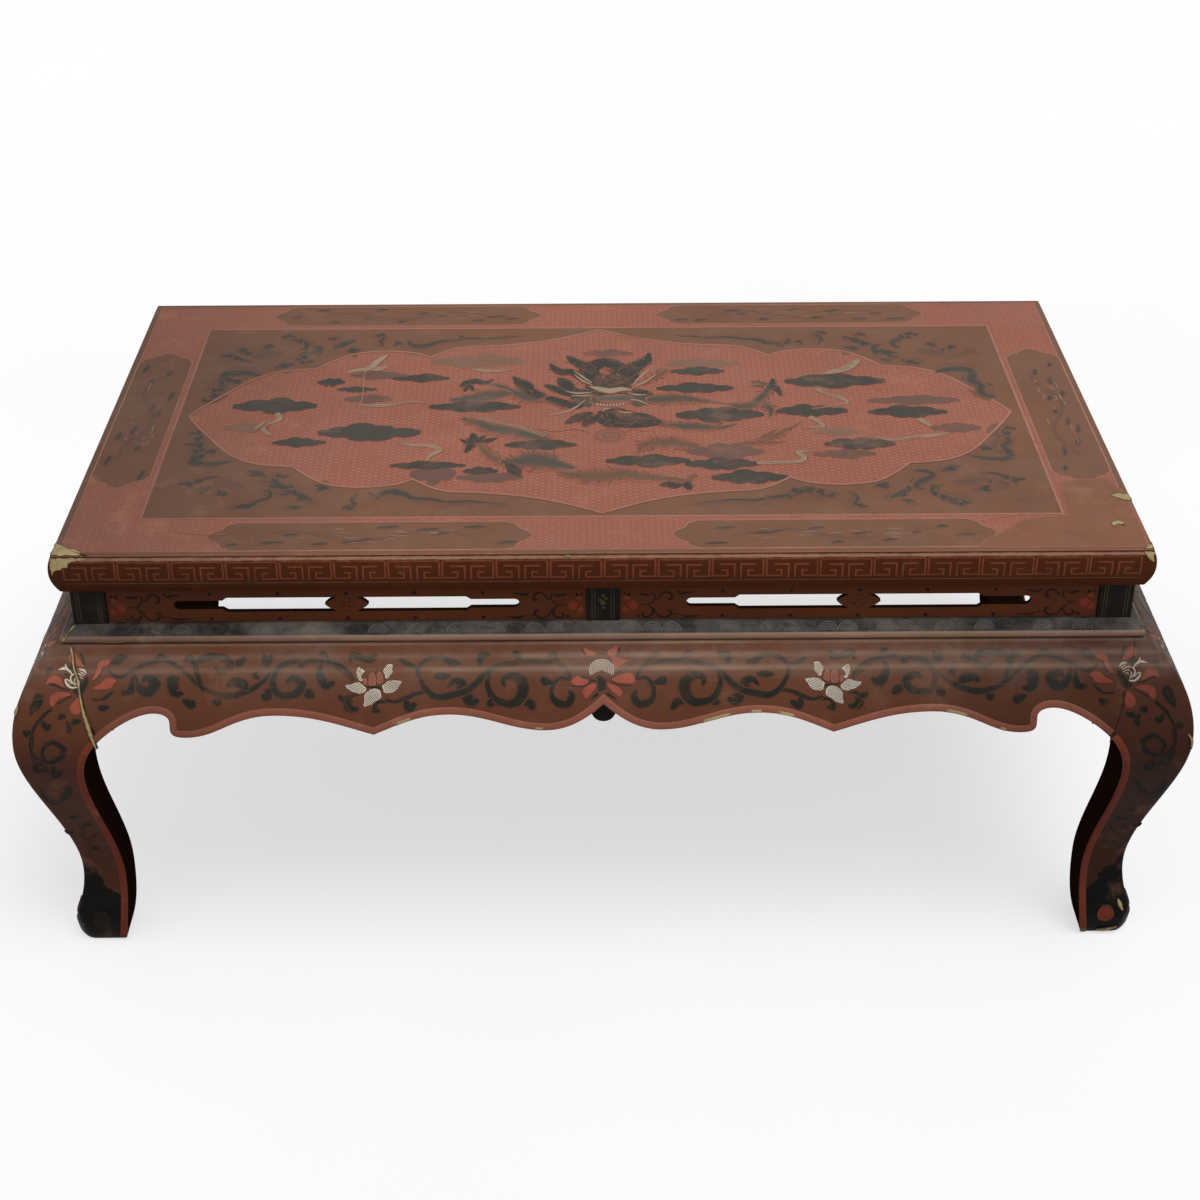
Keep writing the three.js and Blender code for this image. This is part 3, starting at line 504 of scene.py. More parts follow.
# %% Floor
FLOOR_GLOW = 0.62
tree = blank("floor")
place = add(tree, "TexCoord").outputs["Object"]
shade = mixed(tree, step(tree, noise(tree, place, 1.5, 3), 0.3, 0.7), (0.38, 0.38, 0.38, 1),
              (0.4, 0.4, 0.4, 1))
rough = plus(tree, 0.85, times(tree, noise(tree, place, 30), 0.1))
floor_finish = finish("floor", shade, rough)
rays = add(tree, "LightPath").outputs
seen = maths(tree, "MAXIMUM", rays["Is Camera Ray"], maths(tree, "MAXIMUM", rays["Is Glossy Ray"],
                                                           rays["Is Transmission Ray"]))
tree.links.new(times(tree, seen, FLOOR_GLOW), tree.nodes["Principled BSDF"].inputs["Emission Strength"])
tree.nodes["Principled BSDF"].inputs["Emission Color"].default_value = (1, 1, 1, 1)
bm = bmesh.new()
bmesh.ops.create_grid(bm, x_segments=2, y_segments=2, size=14)
floor_mesh = bpy.data.meshes.new("floor")
bm.to_mesh(floor_mesh)
bm.free()
floor_mesh.materials.append(floor_finish)
floor = bpy.data.objects.new("floor", floor_mesh)
scene.collection.objects.link(floor)
print("floor is", tuple(round(v, 1) for v in floor.dimensions))

# %% [markdown]
# ## Modelling helpers
# Pieces are drawn in millimetres in the frame of their side: x along the edge of the top, y inwards from
# it, z up. A loft joins loops of edges with the bridge operator, which is how one skins a form between its
# sections. The last step turns a piece to its side, scales it to metres and lets it ride on the table.

# %% Helpers for pieces
def side_place(side):
    """From the frame of a side to the table's, in millimetres."""
    _, distance, turn = SIDES[side]
    angle = turn * math.pi / 2
    return Matrix.Translation((math.sin(angle) * distance, -math.cos(angle) * distance,
                               0)) @ Matrix.Rotation(angle, 4, "Z")


def corner_place(corner):
    """From the frame of a leg, x outwards and y inwards from the top's corner, to the table's."""
    x, y, turn = CORNERS[corner]
    place = Matrix.Translation((x * LENGTH / 2, y * DEPTH / 2, 0))
    return place @ Matrix.Rotation(turn * math.pi / 2, 4, "Z")


def loop_through(bm, points):
    """A closed loop of edges through points."""
    verts = [bm.verts.new(p) for p in points]
    return [bm.edges.new(pair) for pair in zip(verts, verts[1:] + verts[:1])]


def loft(bm, sections):
    """Skins a form through closed sections, which have the same number of points, and caps its ends."""
    loops = [loop_through(bm, section) for section in sections]
    for one, two in zip(loops, loops[1:]):
        bmesh.ops.bridge_loops(bm, edges=one + two)
    for end in (loops[0], loops[-1]):
        bmesh.ops.contextual_create(bm, geom=end)


def made(bm, name, looks, place=Matrix.Identity(4), stands_for=(), slot="brown_lacquer", sharp=35):
    """Turns a bmesh in millimetres into a finished piece in metres that rides on the table."""
    bmesh.ops.transform(bm, matrix=Matrix.Scale(MM, 4) @ place, verts=bm.verts)
    bmesh.ops.remove_doubles(bm, verts=bm.verts, dist=1e-6)
    bmesh.ops.recalc_face_normals(bm, faces=bm.faces)
    mesh = bpy.data.meshes.new(name)
    bm.to_mesh(mesh)
    bm.free()
    mesh.shade_smooth()
    mesh.set_sharp_from_angle(angle=math.radians(sharp))
    for look in looks if isinstance(looks, list) else [looks]:
        mesh.materials.append(look)
    piece = bpy.data.objects.new(name, mesh)
    scene.collection.objects.link(piece)
    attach(piece, "root")
    if stands_for:
        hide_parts(*stands_for)
    return piece


def mitred_bar(section, length, reach):
    """A bar with a closed section of (inset, height), cut at 45 degrees towards both ends."""
    bm = bmesh.new()
    half = length / 2 + reach
    loft(bm, [[(x, y, z) for y, z in section] for x in (-half, half)])
    for way in (-1, 1):
        geometry = bm.verts[:] + bm.edges[:] + bm.faces[:]
        cut = bmesh.ops.bisect_plane(bm, geom=geometry, plane_co=(way * (length / 2 - 0.2), 0, 0),
                                     plane_no=(way, 1, 0), clear_outer=True)
        rim = [g for g in cut["geom_cut"] if isinstance(g, bmesh.types.BMEdge)]
        bmesh.ops.contextual_create(bm, geom=rim)
    return bm


# %% [markdown]
# ## The top frame
# The rails' outer edge is a soft bullnose over an undercut, and the CAD solid shows it in flat strips. The
# same curve is drawn here with more points, run along the side and cut to the mitres with the bisect
# operator.

# %% Rails of the top
RAIL_SWELL = 2
RAIL_UNDERCUT = 5
rail_drop = RAIL_TOP - RAIL_BOTTOM
rail_face = [(1, 0), (-RAIL_SWELL * 0.6, 0.16), (-RAIL_SWELL, 0.36), (-RAIL_SWELL * 0.7, 0.56),
             (RAIL_UNDERCUT * 0.12, 0.76), (RAIL_UNDERCUT * 0.8, 0.97), (RAIL_UNDERCUT, 1)]
rail_line = [(y, RAIL_TOP - rail_drop * share) for y, share in smooth_line(rail_face, 5)]
for side, (length, _, _) in SIDES.items():
    section = rail_line + [(RAIL_WIDTH, RAIL_BOTTOM), (RAIL_WIDTH, RAIL_TOP)]
    made(mitred_bar(section, length, RAIL_SWELL), "rail_" + side, edge_red, side_place(side),
         ["top_rail_" + side], "edge_lacquer")
print("rails:", len(rail_line), "points on the edge")

# %% [markdown]
# ## The moulding
# Between waist and apron runs a moulding: a sloping band, dark and dusty, over a rounded brown bead.

# %% Mouldings
CLEARANCE = 0.3
BEAD_HEIGHT = 7
MOULDING_BOTTOM = APRON_TOP + CLEARANCE
MOULDING_TOP = WAIST_BOTTOM - CLEARANCE
MOULDING_DEPTH = 24
TONGUE_START, TONGUE_RISE = 17.6, 5.3
BEAD_SWELL = 3
bead_top = MOULDING_BOTTOM + BEAD_HEIGHT
bead = [(2.5, MOULDING_BOTTOM), (0, MOULDING_BOTTOM + 0.84), (-1.5, MOULDING_BOTTOM + 2.8),
        (-1.2, MOULDING_BOTTOM + 5.6), (0.5, bead_top)]
slope = [(1.3, bead_top + 0.3), (4.6, blend(bead_top, MOULDING_TOP, 0.42)), (9.8, MOULDING_TOP)]
moulding_line = smooth_line(bead, 4) + smooth_line(slope, 4)
for side, (length, _, _) in SIDES.items():
    section = moulding_line + [(TONGUE_START, MOULDING_TOP), (TONGUE_START, MOULDING_TOP + TONGUE_RISE),
                               (MOULDING_DEPTH, MOULDING_TOP + TONGUE_RISE),
                               (MOULDING_DEPTH, MOULDING_BOTTOM)]
    band = made(mitred_bar(section, length, BEAD_SWELL), "moulding_" + side, [bead_brown, grey],
                side_place(side),
                ["waist_moulding_" + side], "grey_lacquer")
    for polygon in band.data.polygons:
        polygon.material_index = int(polygon.center.z > bead_top * MM)
print("mouldings:", len(moulding_line), "points on the face")

# %% [markdown]
# ## Aprons
# An apron is a board bowed outwards with a lobed lower edge. The outline is drawn flat, filled as one face,
# sliced by many level cuts, thickened, and then every vertex is moved back by the S-shaped face's outset at
# its height. That keeps the outline true and the swell smooth.

# %% Outline of the lobed edge
CENTRE_LOBE = 50
HOOK_REACH = 66
HOOK_RADIUS = 8


def lobed_edge(length):
    """The lower edge from the middle to the mitre, as (x, height)."""
    end = length / 2 - MITRE_FOOT_INSET
    cusp = (0, APRON_TOP - 41.4)
    arch, point_height = APRON_TOP - 49.5, APRON_TOP - 67.6
    first = (CENTRE_LOBE, APRON_TOP - 64.4)
    last = (end - 80, APRON_TOP - 69.4)
    hook = end - HOOK_REACH
    hook_top = (end - 52.5, APRON_TOP - 47)
    span = last[0] - first[0]
    runs = [bezier(cusp, (CENTRE_LOBE * 0.24, blend(cusp[1], first[1], 0.42)),
                   (CENTRE_LOBE * 0.56, first[1]), first)]
    if length > DEPTH:
        near, far = (first[0] + span * 0.27, arch), (first[0] + span * 0.755, arch)
        point = (first[0] + span * 0.48, point_height)
        dives = [bezier(top, (blend(top[0], point[0], 0.43), arch),
                        (blend(top[0], point[0], 0.7), blend(arch, point_height, 0.55)),
                        point) for top in (near, far)]
        runs += [swing(first, near, 0.36, 0.6), dives[0], dives[1][::-1], swing(far, last, 0.48, 0.65)]
    else:
        crown = (first[0] + span / 2, arch)
        runs += [swing(first, crown, 0.42, 0.5), swing(crown, last, 0.5, 0.58)]
    curl, rise = (hook, last[1] + HOOK_RADIUS), (hook, hook_top[1] - HOOK_RADIUS)
    runs.append(bezier(last, (blend(last[0], hook, 0.7), last[1]), (hook, last[1] + HOOK_RADIUS * 0.25),
                       curl, 8))
    runs.append([curl] + bezier(rise, (hook, hook_top[1] - HOOK_RADIUS * 0.4),
                                (blend(hook, hook_top[0], 0.37), hook_top[1]), hook_top, 8))
    foot = (end, MITRE_FOOT)
    runs.append(bezier(hook_top, (blend(hook_top[0], end, 0.3), hook_top[1]),
                       (blend(hook_top[0], end, 0.73), blend(hook_top[1], MITRE_FOOT, 0.48)), foot))
    return joined(*runs)


def mirrored(half):
    """A line from the middle, carried to the other side as well."""
    return [(-x, z) for x, z in half[:0:-1]] + half


# %% Boards of the aprons
LEVEL_CUT = 3


def sliced(bm, bottom, top, pitch=LEVEL_CUT):
    """Level cuts through a flat drawing in x and z."""
    for k in range(math.floor(bottom / pitch) + 1, math.ceil(top / pitch)):
        geometry = bm.verts[:] + bm.edges[:] + bm.faces[:]
        bmesh.ops.bisect_plane(bm, geom=geometry, dist=0.01, plane_co=(0, 0, k * pitch), plane_no=(0, 0, 1))


def thickened(bm, depth):
    """A flat drawing made a board: y runs from 0 to depth."""
    extruded = bmesh.ops.extrude_face_region(bm, geom=bm.faces[:], use_keep_orig=True)
    back = [g for g in extruded["geom"] if isinstance(g, bmesh.types.BMVert)]
    bmesh.ops.translate(bm, verts=back, vec=(0, depth, 0))


JOINT_GAP = 0.25
for side, (length, _, _) in SIDES.items():
    edge = mirrored(lobed_edge(length))
    head, foot = length / 2 - MITRE_HEAD_INSET - JOINT_GAP, length / 2 - MITRE_FOOT_INSET - JOINT_GAP
    inner = [p for p in edge if abs(p[0]) < foot]
    outline = [(-foot, edge[0][1])] + inner + [(foot, edge[-1][1]), (head, APRON_TOP), (-head, APRON_TOP)]
    bm = bmesh.new()
    bmesh.ops.contextual_create(bm, geom=loop_through(bm, [(x, 0, z) for x, z in outline]))
    sliced(bm, MITRE_FOOT, APRON_TOP)
    thickened(bm, APRON_THICKNESS)
    for vert in bm.verts:
        vert.co.y -= outset(vert.co.z)
    made(bm, "apron_board_" + side, brown, side_place(side), ["apron_" + side])
print("aprons:", len(SIDES))

# %% [markdown]
# ## The raised lip
# A red bead follows the lower edge of each apron and runs down the inner edge of the legs. It is a half-
# round section swept along the edge and bent to the face. Where the edge comes to a point the section is
# mitred.

# %% Swept beads
def swept(line, width, proud, sunk=0.8, inward=1.0, arcs=6):
    """A closed half-round bead beside a line of (x, height), as sections of (x, height, proud)."""
    sections = []
    for i, (x, z) in enumerate(line):
        before = Vector(line[max(i - 1, 0)])
        after = Vector(line[min(i + 1, len(line) - 1)])
        here = Vector((x, z))
        one, two = (here - before).normalized(), (after - here).normalized()
        way = (one + two).normalized()
        across = Vector((-way.y, way.x)) * inward
        stretch = 1 / max(abs(Vector((-one.y, one.x)).dot(Vector((-way.y, way.x)))) if i else 1, 0.55)
        ring = []
        for k in range(arcs + 1):
            angle = math.pi * k / arcs
            offset = (1 - math.cos(angle)) / 2 * width * stretch
            ring.append((x + across.x * offset, z + across.y * offset,
                         proud * math.sin(angle) ** 0.7 + 0.02))
        ring += [(x + across.x * width * stretch, z + across.y * width * stretch, -sunk), (x, z, -sunk)]
        sections.append(ring)
    return sections


def bead_on_face(bm, line, width, proud, inward=1.0):
    """Adds a half-round bead that follows a line on the S-shaped face."""
    sections = swept(line, width, proud, inward=inward)
    loft(bm, [[(x, -outset(z) - h, z) for x, z, h in ring] for ring in sections])


for side, (length, _, _) in SIDES.items():
    foot = length / 2 - MITRE_FOOT_INSET - JOINT_GAP
    edge = [p for p in mirrored(lobed_edge(length)) if abs(p[0]) < foot]
    bm = bmesh.new()
    bead_on_face(bm, edge, LIP_WIDTH, LIP_PROUD)
    made(bm, "apron_lip_" + side, lip_red, side_place(side))
print("lips on the aprons:", LIP_WIDTH, "mm wide")

# %% [markdown]
# ## Legs
# A leg is square in section and bowed towards both sides at once. It is skinned through level sections: a
# square with softened corners from the sole to the foot of the mitre, then an angle shape above it, which
# leaves room for the ends of the two aprons. The toe's outer corner is rounded off as if on a lathe.

# %% Sections of the leg
ARRIS = 2.2
TOE_AXIS = (-10, 10)
toe_round = along(smooth_line([(30, 0), (35.1, 4.84), (38.5, 22), (38.5, 39.6), (44.3, 58.5), (80, 90)], 4))


def rounded(corners, radii, arcs=5, edge_parts=4):
    """A closed line with softened corners, and extra points along its edges."""
    line = []
    count = len(corners)
    for i, (corner, radius) in enumerate(zip(corners, radii)):
        here = Vector(corner)
        back = (Vector(corners[i - 1]) - here)
        ahead = (Vector(corners[(i + 1) % count]) - here)
        radius = min(radius, back.length * 0.45, ahead.length * 0.45)
        start, end = here + back.normalized() * radius, here + ahead.normalized() * radius
        for k in range(arcs + 1):
            t = k / arcs
            point = start * (1 - t) ** 2 + here * 2 * t * (1 - t) + end * t * t
            line.append(point)
        next_radius = min(radii[(i + 1) % count], ahead.length * 0.45)
        stop = here + ahead - ahead.normalized() * next_radius
        line += [end.lerp(stop, k / edge_parts) for k in range(1, edge_parts)]
    return line


def shaft_section(height):
    o, i = outset(height), inset(height)
    corners = [(o, -o), (-i, -o), (-i, i), (o, i)]
    line = []
    for point in rounded(corners, [ARRIS, 1.2, 1.8, 1.2], edge_parts=8):
        away = point - Vector(TOE_AXIS)
        reach = toe_round(height)
        if away.length > reach:
            point = Vector(TOE_AXIS) + away.normalized() * reach
        line.append((point.x, point.y, height))
    return line


def head_section(height):
    o, m, t, p = outset(height), -mitre_inset(height), APRON_THICKNESS + 0.3, POST_INSET
    t_out = max(o - t, -p + 1)
    corners = [(o, -o), (m, -o), (m, -t_out), (-p, -t_out), (-p, p), (t_out, p), (t_out, -m), (o, -m)]
    return [(q.x, q.y, height) for q in rounded(corners, [ARRIS] + [0.4] * 7, edge_parts=3)]


# %% [markdown]
# The foot is black up to a slanting, uneven edge, which is higher on the outer side. The finish finds it
# from the height and from how far out a point lies from the corner of the top.

# %% Finish of the legs
FOOT_EDGE = 0.076
FOOT_SLANT = 1.27
FOOT_RIPPLE = 0.03
FOOT_FADE = 0.0012
FOOT_BLACK = "15110e"
tree = blank("leg_brown")
place = add(tree, "TexCoord").outputs["Object"]
axes = add(tree, "SeparateXYZ", {0: place}).outputs
beyond = [minus(tree, maths(tree, "ABSOLUTE", axes[axis]), size / 2 * MM)
          for axis, size in (("X", LENGTH), ("Y", DEPTH))]
edge = maths(tree, "MULTIPLY_ADD", maths(tree, "MINIMUM", *beyond), FOOT_SLANT)
edge.node.inputs[2].default_value = FOOT_EDGE
ripple = times(tree, minus(tree, noise(tree, place, 60, 3), 0.5), FOOT_RIPPLE)
above = minus(tree, axes["Z"], plus(tree, edge, ripple))
dark = minus(tree, 1.0, step(tree, above, -FOOT_FADE, FOOT_FADE))
out = aged_and_painted_light_over(tree, "apron", dark, FOOT_BLACK)
leg_brown = finish("leg_brown", out["Color"], out["Roughness"], out["Height"], 0.15, 0.03, 0.06)
print("foot is black below", FOOT_EDGE, "m")

# %% Skin the legs
shaft_levels = sorted({0, 0.6, 1.8, 3.5} | set(range(6, 60, 3)) | {MITRE_FOOT}
                      | {round(60 + k * 5.07, 2) for k in range(35)})
head_levels = [MITRE_FOOT + (APRON_TOP - MITRE_FOOT) * k / 26 for k in range(27)]
for corner in CORNERS:
    bm = bmesh.new()
    loft(bm, [shaft_section(min(z, MITRE_FOOT)) for z in shaft_levels if z <= MITRE_FOOT])
    loft(bm, [head_section(z) for z in head_levels])
    post = [(-POST_SETBACK, POST_SETBACK), (-POST_INSET, POST_SETBACK), (-POST_INSET, POST_INSET),
            (-POST_SETBACK, POST_INSET)]
    loft(bm, [[(q.x, q.y, z) for q in rounded(post, [0.8] * 4, 3, 2)] for z in (APRON_TOP - 6, WAIST_TOP)])
    leg = made(bm, "leg_form_" + corner, [leg_brown, black, inner_painted_shade], corner_place(corner),
               ["leg_" + corner])
    # Faces turned in towards the middle of the table take the inner ground, as painted shade.
    for polygon in leg.data.polygons:
        inwards = min(polygon.normal[k] * math.copysign(1, polygon.center[k]) for k in (0, 1))
        if polygon.center.z > (APRON_TOP + 1) * MM:
            polygon.material_index = 1
        elif inwards < -0.5:
            polygon.material_index = 2
    print(leg.name, len(leg.data.polygons), "faces")

# %% Lips down the legs
TURNED_OVER = Matrix(((0, -1, 0, 0), (-1, 0, 0, 0), (0, 0, 1, 0), (0, 0, 0, 1)))
leg_lip = [(-x, z) for x, z in inner_edge if z > 1.5]
for corner in CORNERS:
    for face_name, swap in (("a", False), ("b", True)):
        bm = bmesh.new()
        bead_on_face(bm, leg_lip, LIP_WIDTH, LIP_PROUD, inward=-1.0)
        if swap:
            bmesh.ops.transform(bm, matrix=TURNED_OVER, verts=bm.verts)
        made(bm, "leg_lip_" + face_name + "_" + corner, leg_lip_red, corner_place(corner))

# %% [markdown]
# The toe carries a round boss on each outer face: a button that follows the curve of the toe, black round
# its rim and dark red on its face.

# %% Bosses on the toes
boss_red = painted("boss_red", "48211a", "leg_lip", bump=0.3)
BOSS_RADIUS, BOSS_HEIGHT, BOSS_INSET, BOSS_PROUD = 8.5, 25, 4, 1.6
BOSS_FACING, BOSS_RED_AREA = 0.8, 12
BOSS_PARTS = 28
for corner in CORNERS:
    bm = bmesh.new()
    for swap in (False, True):
        rings = [(BOSS_RADIUS, -4), (BOSS_RADIUS, 0.8), (BOSS_RADIUS - 0.7, BOSS_PROUD),
                 (BOSS_RADIUS - 2.2, BOSS_PROUD),
                 (BOSS_RADIUS - 3, BOSS_PROUD - 0.5), (BOSS_RADIUS - 4.4, BOSS_PROUD - 0.4),
                 (1.2, BOSS_PROUD + 0.1)]
        sections = []
        for radius, proud in rings:
            ring = []
            for x, z in circle(-BOSS_INSET, BOSS_HEIGHT, radius, BOSS_PARTS):
                ring.append((outset(z) + proud, -x, z) if swap else (x, -outset(z) - proud, z))
            sections.append(ring)
        loft(bm, sections)
    boss = made(bm, "toe_boss_" + corner, [black, boss_red], corner_place(corner), sharp=50)
    for polygon in boss.data.polygons:
        swapped = polygon.index >= len(boss.data.polygons) // 2
        facing = abs(polygon.normal[0 if swapped else 1]) > BOSS_FACING
        polygon.material_index = int(facing and polygon.area < BOSS_RED_AREA * MM * MM)

# %% [markdown]
# ## Painting
# The decoration is brushed on in thin coats of coloured lacquer, so it has a little body and a crisp edge.
# An image would blur close up, so every stroke is modelled as a coat, most of them a tenth to half a
# millimetre thick. A stroke is drawn flat, carries a value called core, which is 1 along its middle and 0
# at its rim, and is then laid on the surface. The finish reads core to fade the rim into the ground, as a
# dry brush does.

# %% Drawing helpers
ROW_RISE = 0.0015
LAYER_RISE = 0.004


def sheet():
    """An empty flat drawing in millimetres and its core value."""
    bm = bmesh.new()
    return bm, bm.verts.layers.float.new("core")


def strip(bm, core, line, closed=False, rim=0.0, flat=1.0, layer=0.0):
    """A band along a line of (x, y, width): a grid of squares bent to the line.

    A flat brush, held one way, gives a band that is broader where it runs along x. Each row lies a little
    higher than the last, so that a line may cross itself.
    """
    count = len(line) - 1
    for vert in bmesh.ops.create_grid(bm, x_segments=2, y_segments=count, size=1)["verts"]:
        i, side = round((vert.co.y + 1) / 2 * count), round(vert.co.x)
        x, y, width = line[i]
        before = line[i - 1] if i else line[-2] if closed else line[0]
        after = line[i + 1] if i < count else line[1] if closed else line[-1]
        one, two = Vector((x - before[0], y - before[1])), Vector((after[0] - x, after[1] - y))
        way = (one.normalized() + two.normalized()).normalized()
        reach = side * width / 2 / max(way.dot((two if two.length else one).normalized()), 0.5)
        offset = Vector((-way.y * reach, way.x * reach * flat))
        bend = one.normalized().cross(two.normalized()) if one.length and two.length else 0
        if bend * side > 0.01:
            room = 0.9 * min(one.length, two.length) / bend * side
            offset *= min(1, room / max(offset.length, 1e-6))
        vert[core] = 1 if not side else rim
        if i in (0, count) and not closed:
            vert[core] = rim
        vert.co = (x + offset.x, y + offset.y, layer + i * ROW_RISE)


def brush(bm, core, stroke, steps=5, flat=1.0):
    """A brush stroke through points of (x, y, width). Strokes take turns on sixteen layers, a hair apart, so
    that two that cross seldom share one."""
    layer = LAYER_RISE * (len(bm.faces) // 20 % 16)
    strip(bm, core, smooth_line(stroke, steps), flat=flat, layer=layer)


def fill(bm, core, outline, rim=1.2, layer=0.0):
    """A filled shape whose core falls to 0 over the width of the rim."""
    rim_edges = loop_through(bm, [(x, y, layer) for x, y in outline])
    face = bmesh.ops.contextual_create(bm, geom=rim_edges)["faces"]
    if rim:
        bmesh.ops.inset_region(bm, faces=face, thickness=rim, use_boundary=True, use_even_offset=True)
    for vert in face[0].verts:
        vert[core] = 1


def disc(bm, core, x, y, radius, rim=0.0, parts=14):
    fill(bm, core, circle(x, y, radius, parts), rim)


def coat(bm, lay, proud, sunk=0.05):
    """Gives a flat drawing a thickness and lays it on a surface: lay(x, y, out) gives the place."""
    bmesh.ops.remove_doubles(bm, verts=bm.verts, dist=0.001)
    raised = bmesh.ops.extrude_face_region(bm, geom=bm.faces[:], use_keep_orig=True)["geom"]
    raised = {g for g in raised if isinstance(g, bmesh.types.BMVert)}
    for vert in bm.verts:
        vert.co = lay(vert.co.x, vert.co.y, vert.co.z + (proud if vert in raised else -sunk))


def laid(bm, lay, proud, name, look, place=Matrix.Identity(4), slot="top_lacquer", sunk=0.05):
    """Lays a drawing on a surface as a coat of one paint, and makes it a piece."""
    coat(bm, lay, proud, sunk)
    return made(bm, name, look, place, slot=slot)


def on_top(x, y, out):
    return x, y, GROUND + out


def wrapped(line):
    """A function that lays a drawing on a face with a section line of (y, z) points from the top down. The
    drawing's second value is the way along that line."""
    way = [0.0]
    for one, two in zip(line, line[1:]):
        way.append(way[-1] + math.dist(one, two))
    deep = along([(y, s) for (y, _), s in zip(line, way)])
    high = along([(z, s) for (_, z), s in zip(line, way)])

    def lay(x, s, out):
        s = min(max(s, 0.6), way[-1] - 0.6)
        dy, dz = deep(s + 0.5) - deep(s - 0.5), high(s + 0.5) - high(s - 0.5)
        size = math.hypot(dy, dz)
        return x, deep(s) + dz / size * out, high(s) - dy / size * out
    return lay


def cut_rows(bm, pitch=4.0):
    """Cuts a flat drawing into rows, so that it can bend."""
    low, high = min(v.co.y for v in bm.verts), max(v.co.y for v in bm.verts)
    for k in range(math.floor(low / pitch) + 1, math.ceil(high / pitch)):
        bmesh.ops.bisect_plane(bm, geom=bm.verts[:] + bm.edges[:] + bm.faces[:], dist=0.01,
                               plane_co=(0, k * pitch, 0), plane_no=(0, 1, 0))


def inside(outline, x, y):
    """Whether a point lies within an outline."""
    crossings = 0
    for (ax, ay), (bx, by) in zip(outline, outline[1:] + outline[:1]):
        if (ay > y) != (by > y) and x < blend(ax, bx, (y - ay) / (by - ay)):
            crossings += 1
    return crossings % 2 == 1


print("brush, fill and strip are ready")

# %% [markdown]
# ## The skin over the top
# Frame and panel lie under one skin of lacquer, which hides the joints. Its ground coat is red.

# %% Skin of the top
PAINT_ROOM = 0.5
GROUND = SKIN_TOP - PAINT_ROOM
SKIN_INSET, SKIN_CORNER, SKIN_ARRIS, SKIN_SUNK = 1, 2.5, 0.35, 0.35


def drawn_in(point, by):
    """A point of an outline, moved by so much towards the middle of the table."""
    way = Vector((-point.x, -point.y)).normalized()
    return point.x + way.x * by, point.y + way.y * by


corner_x, corner_y = LENGTH / 2 - SKIN_INSET, DEPTH / 2 - SKIN_INSET
corners = [(-corner_x, -corner_y), (corner_x, -corner_y), (corner_x, corner_y), (-corner_x, corner_y)]
skin_edge = rounded(corners, [SKIN_CORNER] * 4, 4, 2)
levels = ((0, SKIN_BOTTOM - SKIN_SUNK), (0, GROUND - CLEARANCE), (SKIN_ARRIS, GROUND))
bm = bmesh.new()
loft(bm, [[(*drawn_in(point, by), z) for point in skin_edge] for by, z in levels])
made(bm, "top_skin", top_red, stands_for=["top_lacquer_skin"], slot="top_lacquer")

# %% [markdown]
# The top has a red ground. A plain brown field with a lobed medallion cut out of it fills the middle, and
# the border carries brown cartouches. Both show the red ground again inside or between them.

# %% Layout of the top
FIELD = (403.7, 206.2)
MARGIN = 6
SKIN_MARGIN = 1.4
QUARTERS = ((1, 1), (-1, 1), (-1, -1), (1, -1))
CARTOUCHES = [(x, y, 141, 25, False) for y in (239.5, -239.5) for x in (200.5, -200.5)]
CARTOUCHES += [(436, 0, 148, 27, True), (-436, 0, 148, 27, True)]
lobes = [[(393, 0), (384, 18.5), (365, 50), (345.5, 79.3), (326, 96.6), (305, 104.5), (282.5, 107)],
         [(282.5, 107), (268.5, 124.3), (250.5, 141.2), (226.5, 148.4), (203, 148), (184, 143),
          (170.5, 134)],
         [(170.5, 134), (154, 149.5), (136, 158.5), (104, 161.5), (69, 168.4), (35, 181.2), (0, 200.7)]]
quarter = joined(*[smooth_line(lobe, 4) for lobe in lobes])
medallion = (quarter + [(-x, y) for x, y in quarter[-2::-1]] + [(-x, -y) for x, y in quarter[1:]]
             + [(x, -y) for x, y in quarter[-2:0:-1]])


def cartouche(x, y, half_length, half_width, turned):
    """A long panel whose ends come to a point between two shoulders."""
    end = [(half_length, 0), (half_length - 5, half_width * 0.3), (half_length - 12, half_width * 0.52),
           (half_length - 15, half_width * 0.8), (half_length - 24, half_width)]
    half = end + [(-a, b) for a, b in end[::-1]]
    points = half + [(a, -b) for a, b in half[-2:0:-1]]
    return [(x + b, y + a) if turned else (x + a, y + b) for a, b in points]


print("medallion:", len(medallion), "points")

# %% Brown grounds
bm, core = sheet()
for x, y in QUARTERS:
    fill(bm, core, [(a * x, b * y) for a, b in quarter + [(0, FIELD[1]), FIELD, (FIELD[0], 0)]], 0)
for panel in CARTOUCHES:
    fill(bm, core, cartouche(*panel), 0)
edge_x, edge_y = LENGTH / 2 - SKIN_MARGIN, DEPTH / 2 - SKIN_MARGIN
inner_x, inner_y = edge_x - MARGIN, edge_y - MARGIN
for way in (1, -1):
    x, y, end_x, end_y = inner_x * way, inner_y * way, edge_x * way, edge_y * way
    fill(bm, core, [(-end_x, end_y), (end_x, end_y), (x, y), (-x, y)], 0)
    fill(bm, core, [(end_x, -end_y), (end_x, end_y), (x, y), (x, -y)], 0)
laid(bm, on_top, 0.08, "paint_brown_grounds", top_brown)
print("cartouches:", len(CARTOUCHES))

# %% [markdown]
# A diaper of small dashes, each row shifted by half a step, covers the red ground. One grid gives all of
# them: its squares are parted, shrunk to dashes, and the ones outside the red ground are deleted.

# %% Diaper of dashes
DASH_HEIGHT = 0.1
SHAKE = 0.3
LOST_SHARE = 0.04


